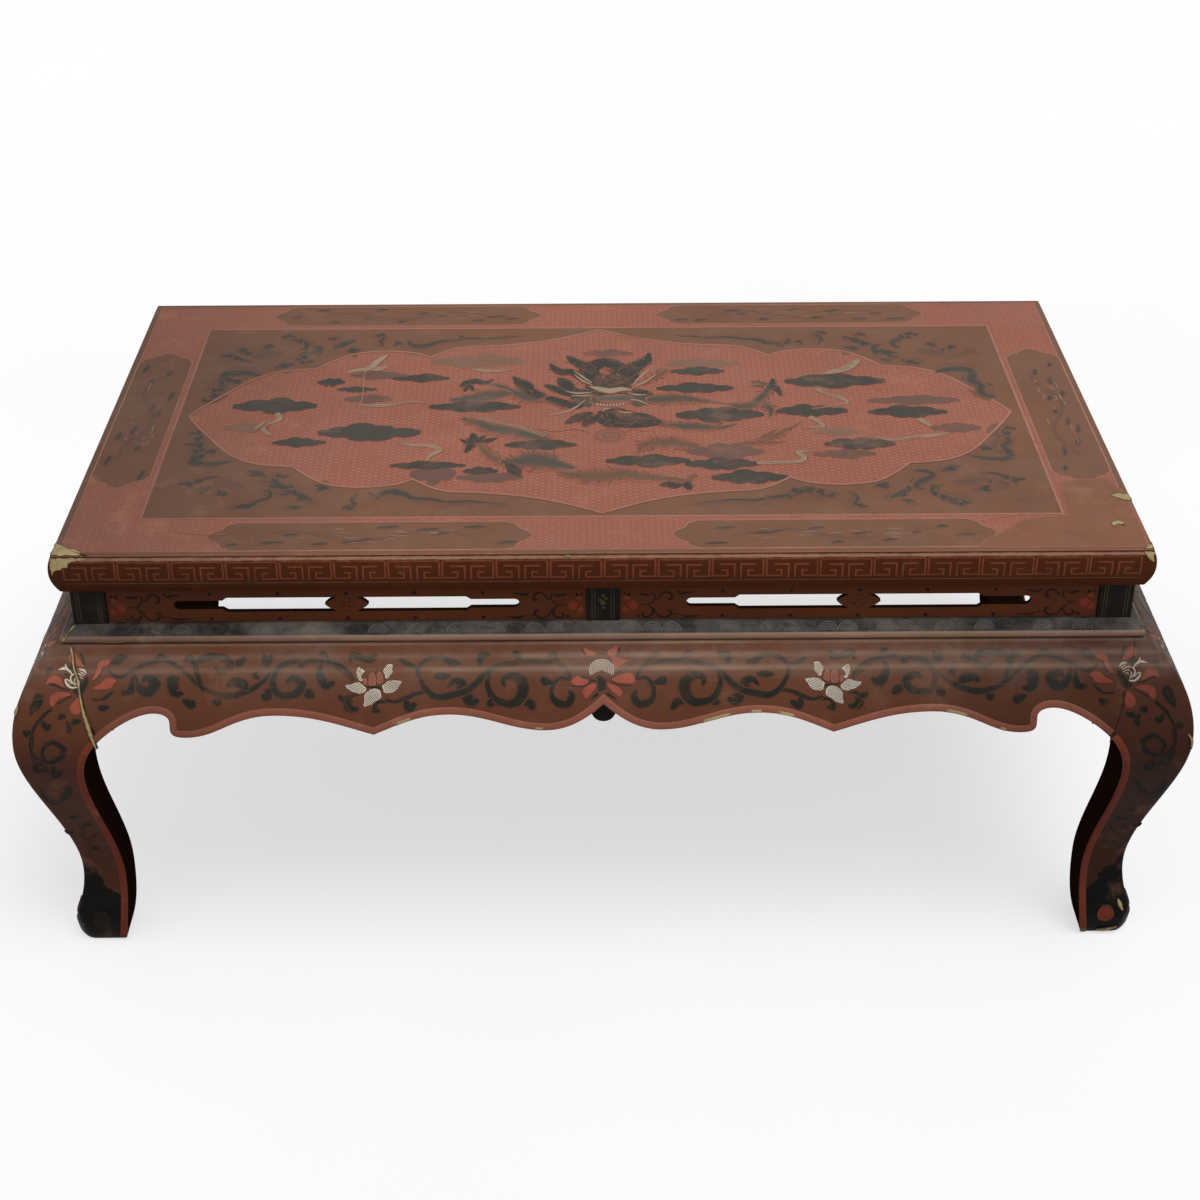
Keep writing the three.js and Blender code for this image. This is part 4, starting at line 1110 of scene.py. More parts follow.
def diaper(name, half, pitch, dash, keep):
    """Dashes over an area of half lengths, one pitch apart, where keep says that they belong."""
    bm, core = sheet()
    columns, rows = round(2 * half[0] / pitch[0]), round(2 * half[1] / pitch[1])
    bmesh.ops.create_grid(bm, x_segments=columns, y_segments=rows, size=1)
    bmesh.ops.split_edges(bm, edges=bm.edges[:])
    lost = []
    wobble = random.Random(11)
    for square in bm.faces:
        middle = square.calc_center_median()
        column = round((middle.x + 1) / 2 * columns - 0.5)
        x = middle.x * columns * pitch[0] / 2 + wobble.uniform(-SHAKE, SHAKE)
        shift = pitch[1] / 2 if column % 2 else 0
        y = middle.y * rows * pitch[1] / 2 + shift + wobble.uniform(-SHAKE, SHAKE)
        if not keep(x, y) or wobble.random() < LOST_SHARE:
            lost.append(square)
        long, wide = (size / 2 * wobble.uniform(0.8, 1.15) for size in dash)
        for vert in square.verts:
            left, low = vert.co.x < middle.x, vert.co.y < middle.y
            slant = 0.5 if left == low else 1
            vert.co = (x + (-long if left else long), y + (-wide if low else wide) * slant, 0)
            vert[core] = 0.7
    bmesh.ops.delete(bm, geom=lost, context="FACES")
    print(name, len(laid(bm, on_top, DASH_HEIGHT, name, dash_coral).data.polygons), "faces")


def clear_of(outline, x, y, by=3.5):
    return all(inside(outline, x + a, y + b) for a, b in ((by, 0), (-by, 0), (0, by), (0, -by)))


panels = [cartouche(*panel) for panel in CARTOUCHES]


def in_border(x, y):
    if abs(x) < FIELD[0] + 4 and abs(y) < FIELD[1] + 3:
        return False
    if abs(x) > inner_x - 4 or abs(y) > inner_y - 3:
        return False
    return not any(inside(panel, x + a, y) for panel in panels for a in (-3, 3))


dash_coral = painted("dash_coral", "ae7866", "red", 0.3, 0.6, 0.5)
diaper("paint_diaper_field", FIELD, (5.6, 6.2), (3.1, 2.0), lambda x, y: clear_of(medallion, x, y))
diaper("paint_diaper_border", (462, 264), (5.4, 5.2), (2.9, 1.5), in_border)

# %% [markdown]
# Fine coral lines outline the field, the medallion and the cartouches. They are bands of even width with
# mitred corners.

# %% Coral lines
LINE_HEIGHT = 0.17
FIELD_LINE, MEDALLION_LINE, PANEL_LINE, BORDER_LINE = 2.2, 2.6, 1.3, 1.2
coral = painted("coral_line", "a97462", "brown", 0.3, 0.5, 0.35)
bm, core = sheet()


def outline(points, width):
    strip(bm, core, [(x, y, width) for x, y in points + points[:1]], True, 0.25)


outline([(FIELD[0] * x, FIELD[1] * y) for x, y in QUARTERS], FIELD_LINE)
outline(medallion, MEDALLION_LINE)
for panel in panels:
    outline(panel, PANEL_LINE)
outline([(inner_x * x, inner_y * y) for x, y in QUARTERS], BORDER_LINE)
laid(bm, on_top, LINE_HEIGHT, "paint_lines_top", coral)
print("outlines:", 3 + len(panels))

# %% [markdown]
# Scrolling leaves fill the corners of the field. They have darkened and worn until only soft grey strokes
# are left. One corner is drawn, and the other three are turned over from it and shaken a little, as a
# painter who repeats a motif by eye would.

# %% Scrolls in the corners of the field
SCROLL = [
    [(388, 38, 1.2), (381, 36, 4), (375, 46, 5.5), (377, 62, 6), (370, 73, 6.5), (373, 86, 8),
     (372, 96, 6.5),
     (361, 100, 6), (349, 98, 5), (337, 93, 1.5)],
    [(385, 58, 1.5), (379, 59, 4), (371, 51, 1.5)],
    [(367, 80, 2), (361, 77, 5.5), (358, 74, 1.5)],
    [(326, 114, 2), (316, 117, 6.5), (306, 124, 2)],
    [(382, 138, 1.5), (372, 139, 5), (364, 136, 4.5), (356, 128, 3.5), (345, 125, 1)],
    [(362, 162, 2), (359, 155, 7), (353, 145, 4), (348, 143, 1)],
    [(346, 154, 1.5), (341, 160, 6), (335, 161, 1.5)],
    [(326, 186, 1.5), (319, 183, 6), (311, 181, 6.5), (306, 174, 5), (296, 166, 4), (298, 154, 4),
     (304, 154, 1.2)],
    [(284, 125, 1), (293, 125, 5), (300, 132, 6.5), (295, 140, 7.5), (286, 148, 8), (282, 157, 5.5),
     (290, 161, 1.5)],
    [(282, 158, 2), (273, 161, 4.5), (263, 170, 6), (252, 179, 1.5)],
    [(279, 183, 1), (272, 184, 3.5), (265, 182, 1)],
    [(260, 147, 1.5), (254, 150, 6.5), (246, 154, 1.5)],
    [(233, 190, 1.2), (226, 189, 4.5), (221, 184, 3.5), (225, 174, 3), (220, 161, 1)],
    [(209, 161, 1), (205, 168, 4), (199, 167, 1)],
    [(198, 176, 2), (194, 165, 5.5), (185, 160, 6), (174, 165, 6), (166, 172, 4), (149, 175, 3),
     (135, 180, 2.6),
     (116, 179, 2), (100, 182, 1.4), (81, 185, 0.5)],
    [(148, 187, 1.2), (143, 183, 4.5), (136, 180, 1.2)],
]
TOP_BRUSH = 1.6
HAZE = [[(354, 136, 5), (339, 140, 13), (318, 145, 5)], [(372, 80, 8), (366, 96, 16), (345, 104, 6)],
        [(300, 160, 6), (286, 152, 14), (268, 166, 5)]]
scroll_grey = painted("scroll_grey", "413e36", "brown", 0.8, 0.5, 0.3)
haze_grey = painted("scroll_haze", "64483a", "brown", 1.2, 0.8, 0.4)


def lobes(stroke, chance):
    """Round lobes on both sides of a stroke, like those of a leaf."""
    for k in range(1, len(stroke) - 1):
        (ax, ay, _), (x, y, w), (bx, by, _) = stroke[k - 1:k + 2]
        way = Vector((bx - ax, by - ay)).normalized() * chance.uniform(1, 4)
        side = Vector((-way.y, way.x)).normalized() * (1 if (k + len(stroke)) % 2 else -1)
        side = side * w * chance.uniform(0.5, 0.9)
        yield [(x, y, w * 0.9), (x + side.x * 0.8 + way.x * 0.5, y + side.y * 0.8 + way.y * 0.5, w * 1.25),
               (x + side.x * 1.3 + way.x, y + side.y * 1.3 + way.y, w * 0.9)]


HAZE += [[(x, y, w * 1.9) for x, y, w in stroke] for stroke in SCROLL]
for name, strokes, look, height in (("haze", HAZE, haze_grey, 0.1), ("scroll", SCROLL, scroll_grey, 0.14)):
    bm, core = sheet()
    shake = random.Random(5)
    for x, y in ((-1, -1), (1, -1), (-1, 1), (1, 1)):
        for stroke in strokes:
            dx, dy, size = shake.uniform(-4, 4), shake.uniform(-3, 3), shake.uniform(0.85, 1.15)
            size *= 2.0 if y > 0 else 1.7
            extra = list(lobes(stroke, shake)) if name == "scroll" else []
            for line in [stroke] + extra:
                brush(bm, core, [((a + dx) * x, (b + dy) * y, w * size) for a, b, w in line], flat=TOP_BRUSH)
    laid(bm, on_top, height, "paint_" + name + "_top", look)
print("strokes in a corner:", len(SCROLL) + len(HAZE))

# %% [markdown]
# ## The dragon among clouds
# A dragon seen from the front winds through bands of cloud above a pearl, the usual subject for such a top.
# It is drawn as brush strokes in five paints, laid one over the other: brown limbs and bands, a grey-brown
# body, a dark mane and claws, a cooler grey across the snout, and pale highlights. The broadest parts are
# filled shapes under the strokes, and fine dark hairs sweep back from the edges.

# %% Strokes of the dragon
DRAGON = {
    "brown": [
        [(43, 34, 4.5), (58, 27, 7.6), (75, 25, 5.8), (100, 24, 2.2)],
        [(56, -18, 5.3), (69, -25, 6.6), (91, -30, 6.6), (118, -22, 2.6)],
        [(-115, -61, 5), (-106, -82, 8), (-94, -99, 8), (-83, -103, 3)],
        [(-41, -120, 1.5), (-30, -126, 8), (-14, -129, 13), (0, -130, 15), (19, -125, 14), (36, -131, 10),
         (55, -135, 6.5),
         (73, -139, 5), (79, -149, 2)],
        [(34, -88, 1.5), (38, -71, 8), (49, -63, 12), (65, -62, 12), (79, -67, 11), (92, -73, 4)],
        [(120, -66, 0.8), (140, -64, 4), (159, -65, 3.5), (172, -61, 0.8)],
        [(132, -63, 0.8), (153, -58, 4.5), (170, -46, 4), (181, -34, 0.8)],
        [(146, -62, 0.8), (158, -46, 4), (167, -34, 0.8)],
        [(149, -60, 0.8), (170, -43, 4.5), (191, -20, 0.8)],
        [(87, -127, 1), (82, -132, 4.5), (80, -144, 2)],
        [(68, 102, 4), (62, 92, 8), (53, 82, 7), (44, 70, 5), (36, 61, 1.5)],
        [(-131, -6, 1), (-108, -17, 4), (-75, -28, 4.5), (-53, -42, 3), (-45, -52, 1)],
    ],
    "grey": [
        [(-12, 51, 4.5), (-1, 56, 8.6), (13, 54, 8.6), (30, 52, 4.5)],
        [(-10, 32, 6.8), (4, 29, 11.3), (19, 31, 11.3), (31, 34, 5.9)],
        [(-112, 70, 3), (-98, 64, 5), (-88, 54, 8), (-76, 42, 12), (-64, 36, 11), (-54, 39, 6)],
        [(-57, 39, 7), (-49, 33, 9), (-39, 26, 8), (-29, 19, 8), (-22, 31, 3)],
        [(-146, 32, 3), (-135, 34, 8), (-120, 36, 14), (-107, 43, 15), (-94, 46, 10), (-85, 47, 2.5)],
        [(-134, -8, 1), (-120, -16, 9), (-103, -29, 12), (-85, -36, 12), (-69, -44, 12), (-46, -57, 5)],
        [(-94, -102, 3), (-78, -99, 12), (-64, -97, 21), (-52, -100, 20), (-39, -106, 12), (-22, -115, 2)],
        [(122, 23, 1.5), (133, 15, 8), (145, 18, 11), (154, 31, 9), (162, 47, 7.5), (167, 63, 5)],
        [(147, 70, 0.8), (157, 69, 4), (165, 59, 4)],
        [(146, 60, 0.8), (156, 61, 3), (164, 56, 4)],
        [(161, -11, 0.8), (164, 5, 6.5), (159, 16, 9), (148, 21, 5)],
        [(44, 29, 5), (60, 32, 12), (77, 33, 11), (96, 29, 6), (126, 20, 1)],
        [(60, -23, 1.5), (77, -28, 9), (93, -29, 9.5), (113, -32, 5), (130, -23, 0.8)],
        [(34, -10, 7), (45, -12, 9), (55, -19, 6), (64, -31, 1)],
    ],
    "dark": [
        [(-11, 113, 5.1), (-14, 97, 10.2), (-9, 77, 11.9), (2, 64, 11.9), (13, 61, 11.4), (23, 69, 11.9),
         (31, 85, 11.5), (30, 104, 6.0)],
        [(-19, 53, 2.3), (-10, 47, 5.9), (-1, 44, 4.1)],
        [(29, 45, 2.3), (38, 46, 5.0), (47, 50, 1.4)],
        [(-1, 6, 4.5), (10, -5, 10.2), (25, -10, 10.6), (41, -6, 5.8), (54, -13, 1.3)],
        [(-8, 2, 1.3), (-18, -9, 4.9), (-32, -22, 1.1)],
        [(1, -3, 2.2), (-7, -14, 5.3), (-16, -28, 1.1)],
        [(12, -12, 2.7), (10, -20, 4.4), (3, -27, 1.1)],
        [(34, -12, 4.4), (45, -20, 5.3), (57, -21, 1.3)],
        [(-42, 83, 1.2), (-34, 66, 5.5), (-26, 55, 5.0), (-16, 47, 2.3)],
        [(-55, 65, 0.9), (-44, 53, 3.6), (-30, 44, 4.5), (-14, 38, 2.3)],
        [(-52, 38, 4.1), (-39, 26, 7.6), (-23, 18, 6.7), (-16, 23, 2.2)],
        [(-86, 84, 1.2), (-78, 66, 5.9), (-68, 51, 7.7), (-55, 38, 6.8)],
        [(6, 74, 11), (-5, 82, 12), (-9, 97, 12), (-5, 111, 11), (6, 117, 11), (17, 111, 11), (21, 97, 12),
         (17, 82, 12), (6, 74, 11)],
        [(-10, 70, 4), (2, 67, 12), (17, 67, 12), (30, 70, 4)],
        [(-33, 136, 1), (-28, 126, 5.5), (-21, 116, 8), (-11, 106, 8), (-7, 94, 4)],
        [(50, 142, 1.5), (48, 124, 7), (39, 113, 9.5), (31, 101, 13), (22, 84, 9)],
        [(-50, 117, 1), (-45, 104, 5.5), (-38, 96, 6.5), (-29, 96, 6), (-22, 88, 7), (-16, 72, 3)],
        [(-41, 83, 1), (-37, 75, 8), (-32, 62, 10), (-29, 48, 4)],
        [(-55, 66, 1), (-46, 60, 5), (-37, 50, 6), (-27, 46, 6), (-14, 43, 3)],
        [(-5, 44, 3), (9, 42, 5.5), (29, 43, 3)],
        [(2, -2, 2.5), (8, 7, 5), (18, 7, 5.5), (29, -1, 2.5)],
        [(-7, -6, 4), (6, -13, 12), (19, -17, 12), (36, -10, 4)],
        [(-34, -22, 1), (-26, -11, 5), (-16, -2, 5), (-7, 2, 2)],
        [(-17, -28, 1), (-12, -15, 5.5), (1, -2, 3)],
        [(-138, 62, 0.8), (-132, 71, 5), (-122, 75, 5.5), (-113, 72, 4), (-105, 80, 1)],
        [(-133, 51, 1), (-128, 63, 4.5), (-123, 51, 1)],
        [(-86, 87, 1), (-80, 74, 7), (-72, 66, 8), (-66, 53, 3)],
        [(-132, -53, 0.8), (-126, -59, 3.5), (-121, -59, 7), (-119, -51, 6.5), (-121, -40, 1.5)],
        [(-126, -82, 1), (-123, -73, 4.5), (-120, -62, 6)],
        [(-108, -45, 0.8), (-113, -53, 4), (-116, -59, 4.5)],
        [(-96, -50, 0.8), (-105, -56, 4), (-113, -56, 4.5)],
        [(-87, -103, 2.5), (-79, -118, 9), (-74, -131, 1.5)],
        [(52, -148, 1), (60, -147, 5), (66, -149, 5.5), (73, -148, 1)],
        [(80, -158, 1.5), (77, -149, 6), (79, -142, 2)],
        [(171, 78, 1.5), (169, 63, 5.5), (166, 53, 6)],
        [(176, 37, 0.8), (173, 53, 5), (169, 62, 5)],
    ],
    "pale": [
        [(-10, 62, 1.2), (-1, 56, 6.5), (10, 51, 8), (20, 55, 6.5), (31, 53, 1.5)],
        [(-26, 99, 0.8), (-17, 84, 2.4), (-8, 69, 1)], [(-26, 91, 0.8), (-17, 75, 2.4), (-7, 64, 1)],
        [(-34, 51, 0.8), (-22, 46, 2.6), (-8, 48, 1)], [(-28, 41, 0.8), (-17, 40, 2), (-6, 43, 1)],
        [(51, 104, 0.8), (41, 85, 2.6), (31, 62, 1)], [(57, 91, 0.8), (44, 71, 2.4), (33, 60, 1)],
        [(45, 42, 0.8), (35, 42, 2.2), (28, 46, 1)],
        [(2, 4, 0.8), (5, 10, 2), (11, 12, 1)], [(17, 6, 1), (23, 2, 2.2), (31, 3, 1)],
        [(-52, -3, 0.6), (-37, 2, 1.8), (-26, 11, 2.3), (-14, 31, 1)],
        [(29, 31, 1), (38, 28, 2), (47, 17, 0.7)],
    ],
    "blue": [[(-4, 33, 2), (5, 33, 7), (16, 34, 8), (27, 34, 7), (33, 34, 2)]],
}
MASSES = {
    "dark": [
        [(-12, 93), (-1, 85), (6, 77), (15, 82), (26, 92), (31, 61), (25, 54), (-9, 54), (-15, 65)],
        [(-1, 1), (5, 9), (14, 6), (29, 7), (39, -3), (57, -14), (55, -26), (28, -31), (13, -29), (1, -20),
         (-7, -10)],
    ],
    "grey": [
        [(-25, 53), (-11, 56), (-6, 33), (-10, 15), (-21, 21), (-30, 37)],
        [(27, 52), (40, 56), (54, 42), (50, 25), (36, 15), (27, 28)],
        [(-8, 53), (26, 52), (31, 34), (23, 18), (-6, 19), (-12, 34)],
    ],
}


def fringe(stroke, chance, pitch=3.0):
    """Short dark hairs that sweep back from the edges of a stroke."""
    line = smooth_line(stroke, 8)
    gone = 0.0
    for (ax, ay, _), (x, y, w) in zip(line, line[1:]):
        gone += math.dist((ax, ay), (x, y))
        if gone < pitch or w < 4:
            continue
        gone = 0.0
        way = Vector((x - ax, y - ay)).normalized() * chance.uniform(2, 5)
        edge = Vector((-way.y, way.x * TOP_BRUSH)).normalized() * chance.choice((1, -1))
        edge = edge * w * chance.uniform(0.5, 0.75)
        yield [(x + edge.x * 0.6, y + edge.y * 0.6, 1.2),
               (x + edge.x - way.x * 0.4, y + edge.y - way.y * 0.4, 1.2),
               (x + edge.x * 1.3 - way.x, y + edge.y * 1.3 - way.y, 0.3)]


PAINTS = {"brown": ("6b4f3c", 0.9, 0.5, 0.3, 0.18), "grey": ("504a3e", 0.8, 0.5, 0.3, 0.22),
          "dark": ("38362e", 0.1, 0.06, 0.2, 0.3), "blue": ("54564f", 0.8, 0.5, 0.3, 0.34),
          "pale": ("a29079", 0.4, 0.4, 0.2, 0.42)}
for shade, strokes in DRAGON.items():
    colour, soft, ragged, fade, height = PAINTS[shade]
    bm, core = sheet()
    full = 1.0 if shade == "pale" else 1.5
    for k, outline in enumerate(MASSES.get(shade, [])):
        fill(bm, core, smooth_line(outline, 2, True), 0, (k - 3) * 2 * LAYER_RISE)
    for stroke in strokes:
        brush(bm, core, [(x, y, w * full) for x, y, w in stroke], flat=TOP_BRUSH)
    look = painted("dragon_" + shade, colour, "red", soft, ragged, fade)
    laid(bm, on_top, height, "paint_dragon_" + shade, look)
bm, core = sheet()
chance = random.Random(12)
for stroke in DRAGON["grey"] + DRAGON["brown"] + DRAGON["dark"]:
    for hair in fringe([(x, y, w * 1.4) for x, y, w in stroke], chance):
        brush(bm, core, hair, 3)
laid(bm, on_top, 0.33, "paint_dragon_fringe", painted("dragon_fringe", "3f3b31", "red", 0.6, 0.5, 0.3))
print("strokes of the dragon:", sum(len(s) for s in DRAGON.values()))

# %% Teeth, fringe and pearl
bm, core = sheet()
for k in range(9):
    x = -3 + k * 3.1
    brush(bm, core, [(x, 24 - 2 * math.sin(k * 0.4), 0.8), (x + 0.3, 21 - 2 * math.sin(k * 0.4), 2.2),
                     (x, 17 - 2 * math.sin(k * 0.4), 0.8)], 3)
for k in range(26):
    t = k / 25
    x, y = blend(-118, -56, t), blend(-8, -46, t) + 4 * math.sin(t * math.pi)
    brush(bm, core, [(x, y - 4, 0.6), (x + 2, y, 1.1), (x + 6, y + 4, 0.4)], 3)
laid(bm, on_top, 0.44, "paint_teeth", painted("tooth_pale", "a8987f", "red", 0.3, 0.4, 0.3))
PEARL = (8, -48)
PEARL_RADIUS = 15
bm, core = sheet()
disc(bm, core, *PEARL, PEARL_RADIUS, 2, 40)
laid(bm, on_top, 0.15, "paint_pearl", painted("pearl_rose", "8e5a4a", "red", 0.9, 0.3, 0.3))
bm, core = sheet()
spiral = [(PEARL[0] + r * math.cos(a), PEARL[1] + r * math.sin(a), 0.9)
          for a, r in [(0.35 * k, 17 - 0.42 * k) for k in range(36)]]
strip(bm, core, spiral)
for flame in ([(24, -40), (31, -33), (40, -39), (48, -36), (50, -42)],
              [(-10, -42), (-24, -34), (-42, -38), (-58, -33)],
              [(22, -22), (40, -19), (56, -28), (74, -31)]):
    brush(bm, core, [(x, y, 0.9) for x, y in flame], 4)
laid(bm, on_top, 0.24, "paint_pearl_lines", painted("pearl_line", "6f4438", "red", 0.3, 0.3, 0.3))

# %% [markdown]
# The clouds are long lobed shapes, dark ones over brown ones. A short function draws the lobes from a few
# numbers, so every cloud differs. Pale ribbons of vapour trail from them.

# %% Clouds
CLOUDS = {
    "brown": [(-122, 123, 92, 31), (224, -42, 47, 19), (103, 115, 70, 24), (-335, -26, 41, 21)],
    "maroon": [(-219, 91, 55, 19), (-225, 36, 46, 20), (-153, -123, 40, 43), (-101, -131, 58, 21),
               (303, 26, 85, 22),
               (335, -35, 46, 23), (225, -88, 55, 20), (115, -82, 68, 31), (9, 141, 47, 18)],
    "dark": [(-314, 21, 77, 34), (-282, -58, 48, 20), (-218, -38, 92, 37), (-177, 83, 54, 19),
             (-238, 58, 37, 14),
             (-265, 75, 26, 20), (-121, 17, 84, 26), (-56, -66, 64, 22), (-159, -107, 66, 18),
             (-110, -119, 31, 16),
             (232, 71, 95, 34), (203, 3, 65, 28), (294, 0, 73, 27), (241, -68, 63, 26), (97, 96, 52, 20),
             (93, 56, 72, 24), (114, -4, 80, 34), (43, -100, 74, 25), (111, -107, 66, 24),
             (134, -134, 66, 27)],
}


def cloud(bm, core, x, y, length, height, chance):
    """A long cloud: the outline of overlapping round lobes, with blunt ends."""
    def crest(sizes):
        row = [(c + chance.uniform(-0.03, 0.03), w, h * chance.uniform(0.9, 1.1)) for c, w, h in sizes]
        return [(0.5, 0.5, 0.42)] + (row if chance.random() < 0.5 else [(1 - c, w, h) for c, w, h in row])

    above = crest(chance.choice([((0.2, 0.16, 0.62), (0.42, 0.2, 1), (0.63, 0.17, 0.8), (0.83, 0.15, 0.5)),
                                 ((0.3, 0.2, 0.8), (0.55, 0.2, 1), (0.78, 0.16, 0.6))]))
    below = crest(chance.choice([((0.18, 0.14, 0.5), (0.38, 0.18, 0.85), (0.6, 0.18, 0.9),
                                  (0.82, 0.14, 0.5)),
                                 ((0.25, 0.18, 0.65), (0.5, 0.2, 0.95), (0.76, 0.18, 0.6))]))
    points = []
    for side, crests in ((1, above), (-1, below)):
        row = []
        for k in range(57):
            t = 0.5 - 0.5 * math.cos(math.pi * k / 56)
            high = max(h * max(1 - ((t - c) / w) ** 2, 0) ** (0.2 if w == 0.5 else 0.5) for c, w,
                       h in crests)
            row.append((x + (t - 0.5) * length * 1.06, y + side * height * 0.56 * high))
        points += row if side > 0 else row[-2:0:-1]
    fill(bm, core, points, 0.8)


CLOUD_PAINTS = {"brown": ("82604c", 0.9, 0.5, 0.3, 0.2), "maroon": ("6d4e43", 0.8, 0.5, 0.3, 0.26),
                "dark": ("413d34", 0.7, 0.3, 0.2, 0.36)}
chance = random.Random(21)
for shade, rows in CLOUDS.items():
    colour, soft, ragged, fade, height = CLOUD_PAINTS[shade]
    bm, core = sheet()
    for row in rows:
        cloud(bm, core, *row, chance)
    look = painted("cloud_" + shade, colour, "red", soft, ragged, fade)
    laid(bm, on_top, height, "paint_clouds_" + shade, look)
print("clouds:", sum(len(rows) for rows in CLOUDS.values()))

# %% Ribbons of vapour
RIBBONS = [
    [(-130, 107, 0.8), (-119, 101, 3), (-102, 99, 3), (-87, 102, 1)],
    [(-188, -63, 1), (-173, -65, 2.8), (-157, -68, 3.4), (-149, -76, 3.6), (-157, -86, 3.2),
     (-161, -98, 1.5)],
    [(142, -106, 3), (162, -105, 2.8), (182, -103, 3.6), (187, -94, 3.8), (182, -86, 3.6), (190, -82, 2),
     (202, -84, 0.5)],
    [(-236, 22, 1), (-212, 21, 3.6), (-197, 23, 2), (-181, 29, 2), (-160, 24, 0.5)],
    [(-310, 6, 3.4), (-306, -8, 4.6), (-316, -21, 1.4), (-319, -30, 3.2), (-311, -43, 2)],
    [(-252, 97, 2), (-242, 103, 4), (-230, 107, 5), (-224, 122, 6), (-214, 140, 2)],
    [(-235, 112, 1.5), (-222, 106, 5), (-210, 112, 1.5)],
    [(223, 88, 2), (234, 94, 5), (247, 99, 4), (255, 112, 6), (262, 124, 1.5)],
    [(236, 96, 2), (248, 106, 4), (252, 120, 1)],
    [(212, 54, 4.6), (221, 41, 2.4), (235, 31, 3.6), (238, 20, 3), (224, 14, 1.6), (203, 8, 1.2)],
    [(199, -9, 4), (207, -20, 3.6), (210, -30, 3), (190, -34, 1)],
    [(303, -14, 5), (313, -32, 3.2)],
    [(254, -53, 1), (274, -60, 2.2), (293, -54, 2.2), (305, -53, 3.4), (320, -49, 2.6), (329, -45, 1)],
    [(-327, -31, 2.4), (-322, -19, 3), (-318, -12, 1.5)],
]
bm, core = sheet()
for ribbon in RIBBONS:
    brush(bm, core, [(x, y, w * 1.5) for x, y, w in ribbon], flat=1.4)
laid(bm, on_top, 0.42, "paint_ribbons", painted("ribbon_pale", "a08c76", "red", 0.35, 0.4, 0.3))
bm, core = sheet()
for ribbon in RIBBONS:
    for side in (-0.2, 0.6):
        brush(bm, core, [(x + side * w, y - 0.3 * side * w, 0.5) for x, y, w in ribbon], 4)
laid(bm, on_top, 0.46, "paint_ribbon_lines", painted("ribbon_line", "5a4b3e", "red", 0.3, 0.3, 0.5))
print("ribbons:", len(RIBBONS))

# %% [markdown]
# The cartouches of the border hold small clouds and a faint winding creature of fine pale and grey strokes,
# so worn that only scraps are left.

# %% Filling of the cartouches
grey_bm, grey_core = sheet()
pale_bm, pale_core = sheet()
haze_bm, haze_core = sheet()
chance = random.Random(4)
for x, y, half_length, half_width, turned in CARTOUCHES:
    def turn(points):
        return [(x + b, y + a, w) if turned else (x + a, y + b, w) for a, b, w in points]

    winding = [(half_length * (t - 0.5) * 1.25, half_width * 0.36 * math.sin(t * 9 + x),
                3 + 6 * math.sin(math.pi * t))
               for t in [k / 9 for k in range(10)]]
    brush(haze_bm, haze_core, turn(winding), 4)
    for k in range(11):
        a = half_length * blend(-0.86, 0.86, (k + chance.uniform(0.1, 0.9)) / 11)
        b = half_width * chance.uniform(-0.68, 0.68)
        long = chance.uniform(5, 11)
        brush(grey_bm, grey_core, turn([(a - long, b - 1, 2), (a - long * 0.3, b, 7),
                                        (a + long * 0.5, b + 1, 6),
                                        (a + long, b + 1, 2)]))
    for k in range(14):
        a, b = half_length * chance.uniform(-0.5, 0.5), half_width * chance.uniform(-0.5, 0.5)
        long, bend = chance.uniform(4, 9), chance.uniform(-4, 4)
        brush(pale_bm, pale_core, turn([(a - long, b, 0.5), (a, b + bend, 1.2),
                                        (a + long, b + bend * 0.3, 0.5)]), 4)
for one, name, look, height in (
        (haze_bm, "paint_cartouche_haze", haze_grey, 0.12),
        (grey_bm, "paint_cartouche_clouds", scroll_grey, 0.2),
        (pale_bm, "paint_cartouche_scraps", painted("scrap_pale", "9a8672", "brown", 0.4, 0.8, 0.6), 0.24)):
    laid(one, on_top, height, name, look)
print("cartouches filled:", len(CARTOUCHES))

# %% [markdown]
# ## Vines on aprons and legs
# A vine runs along each apron and down the legs, with a flower in the middle, a lotus on either side and
# one more flower over each corner. It is drawn flat, as on paper, with x along the side and the second
# value the way down from the shoulder, and the paper is then wrapped round the swelling face.

# %% Drawing on the shared face
on_face = wrapped([(-out, z) for out, z in face[::-1]])
print("ankle on the drawing:", [round(v, 1) for v in on_face(0, 258, 0)])

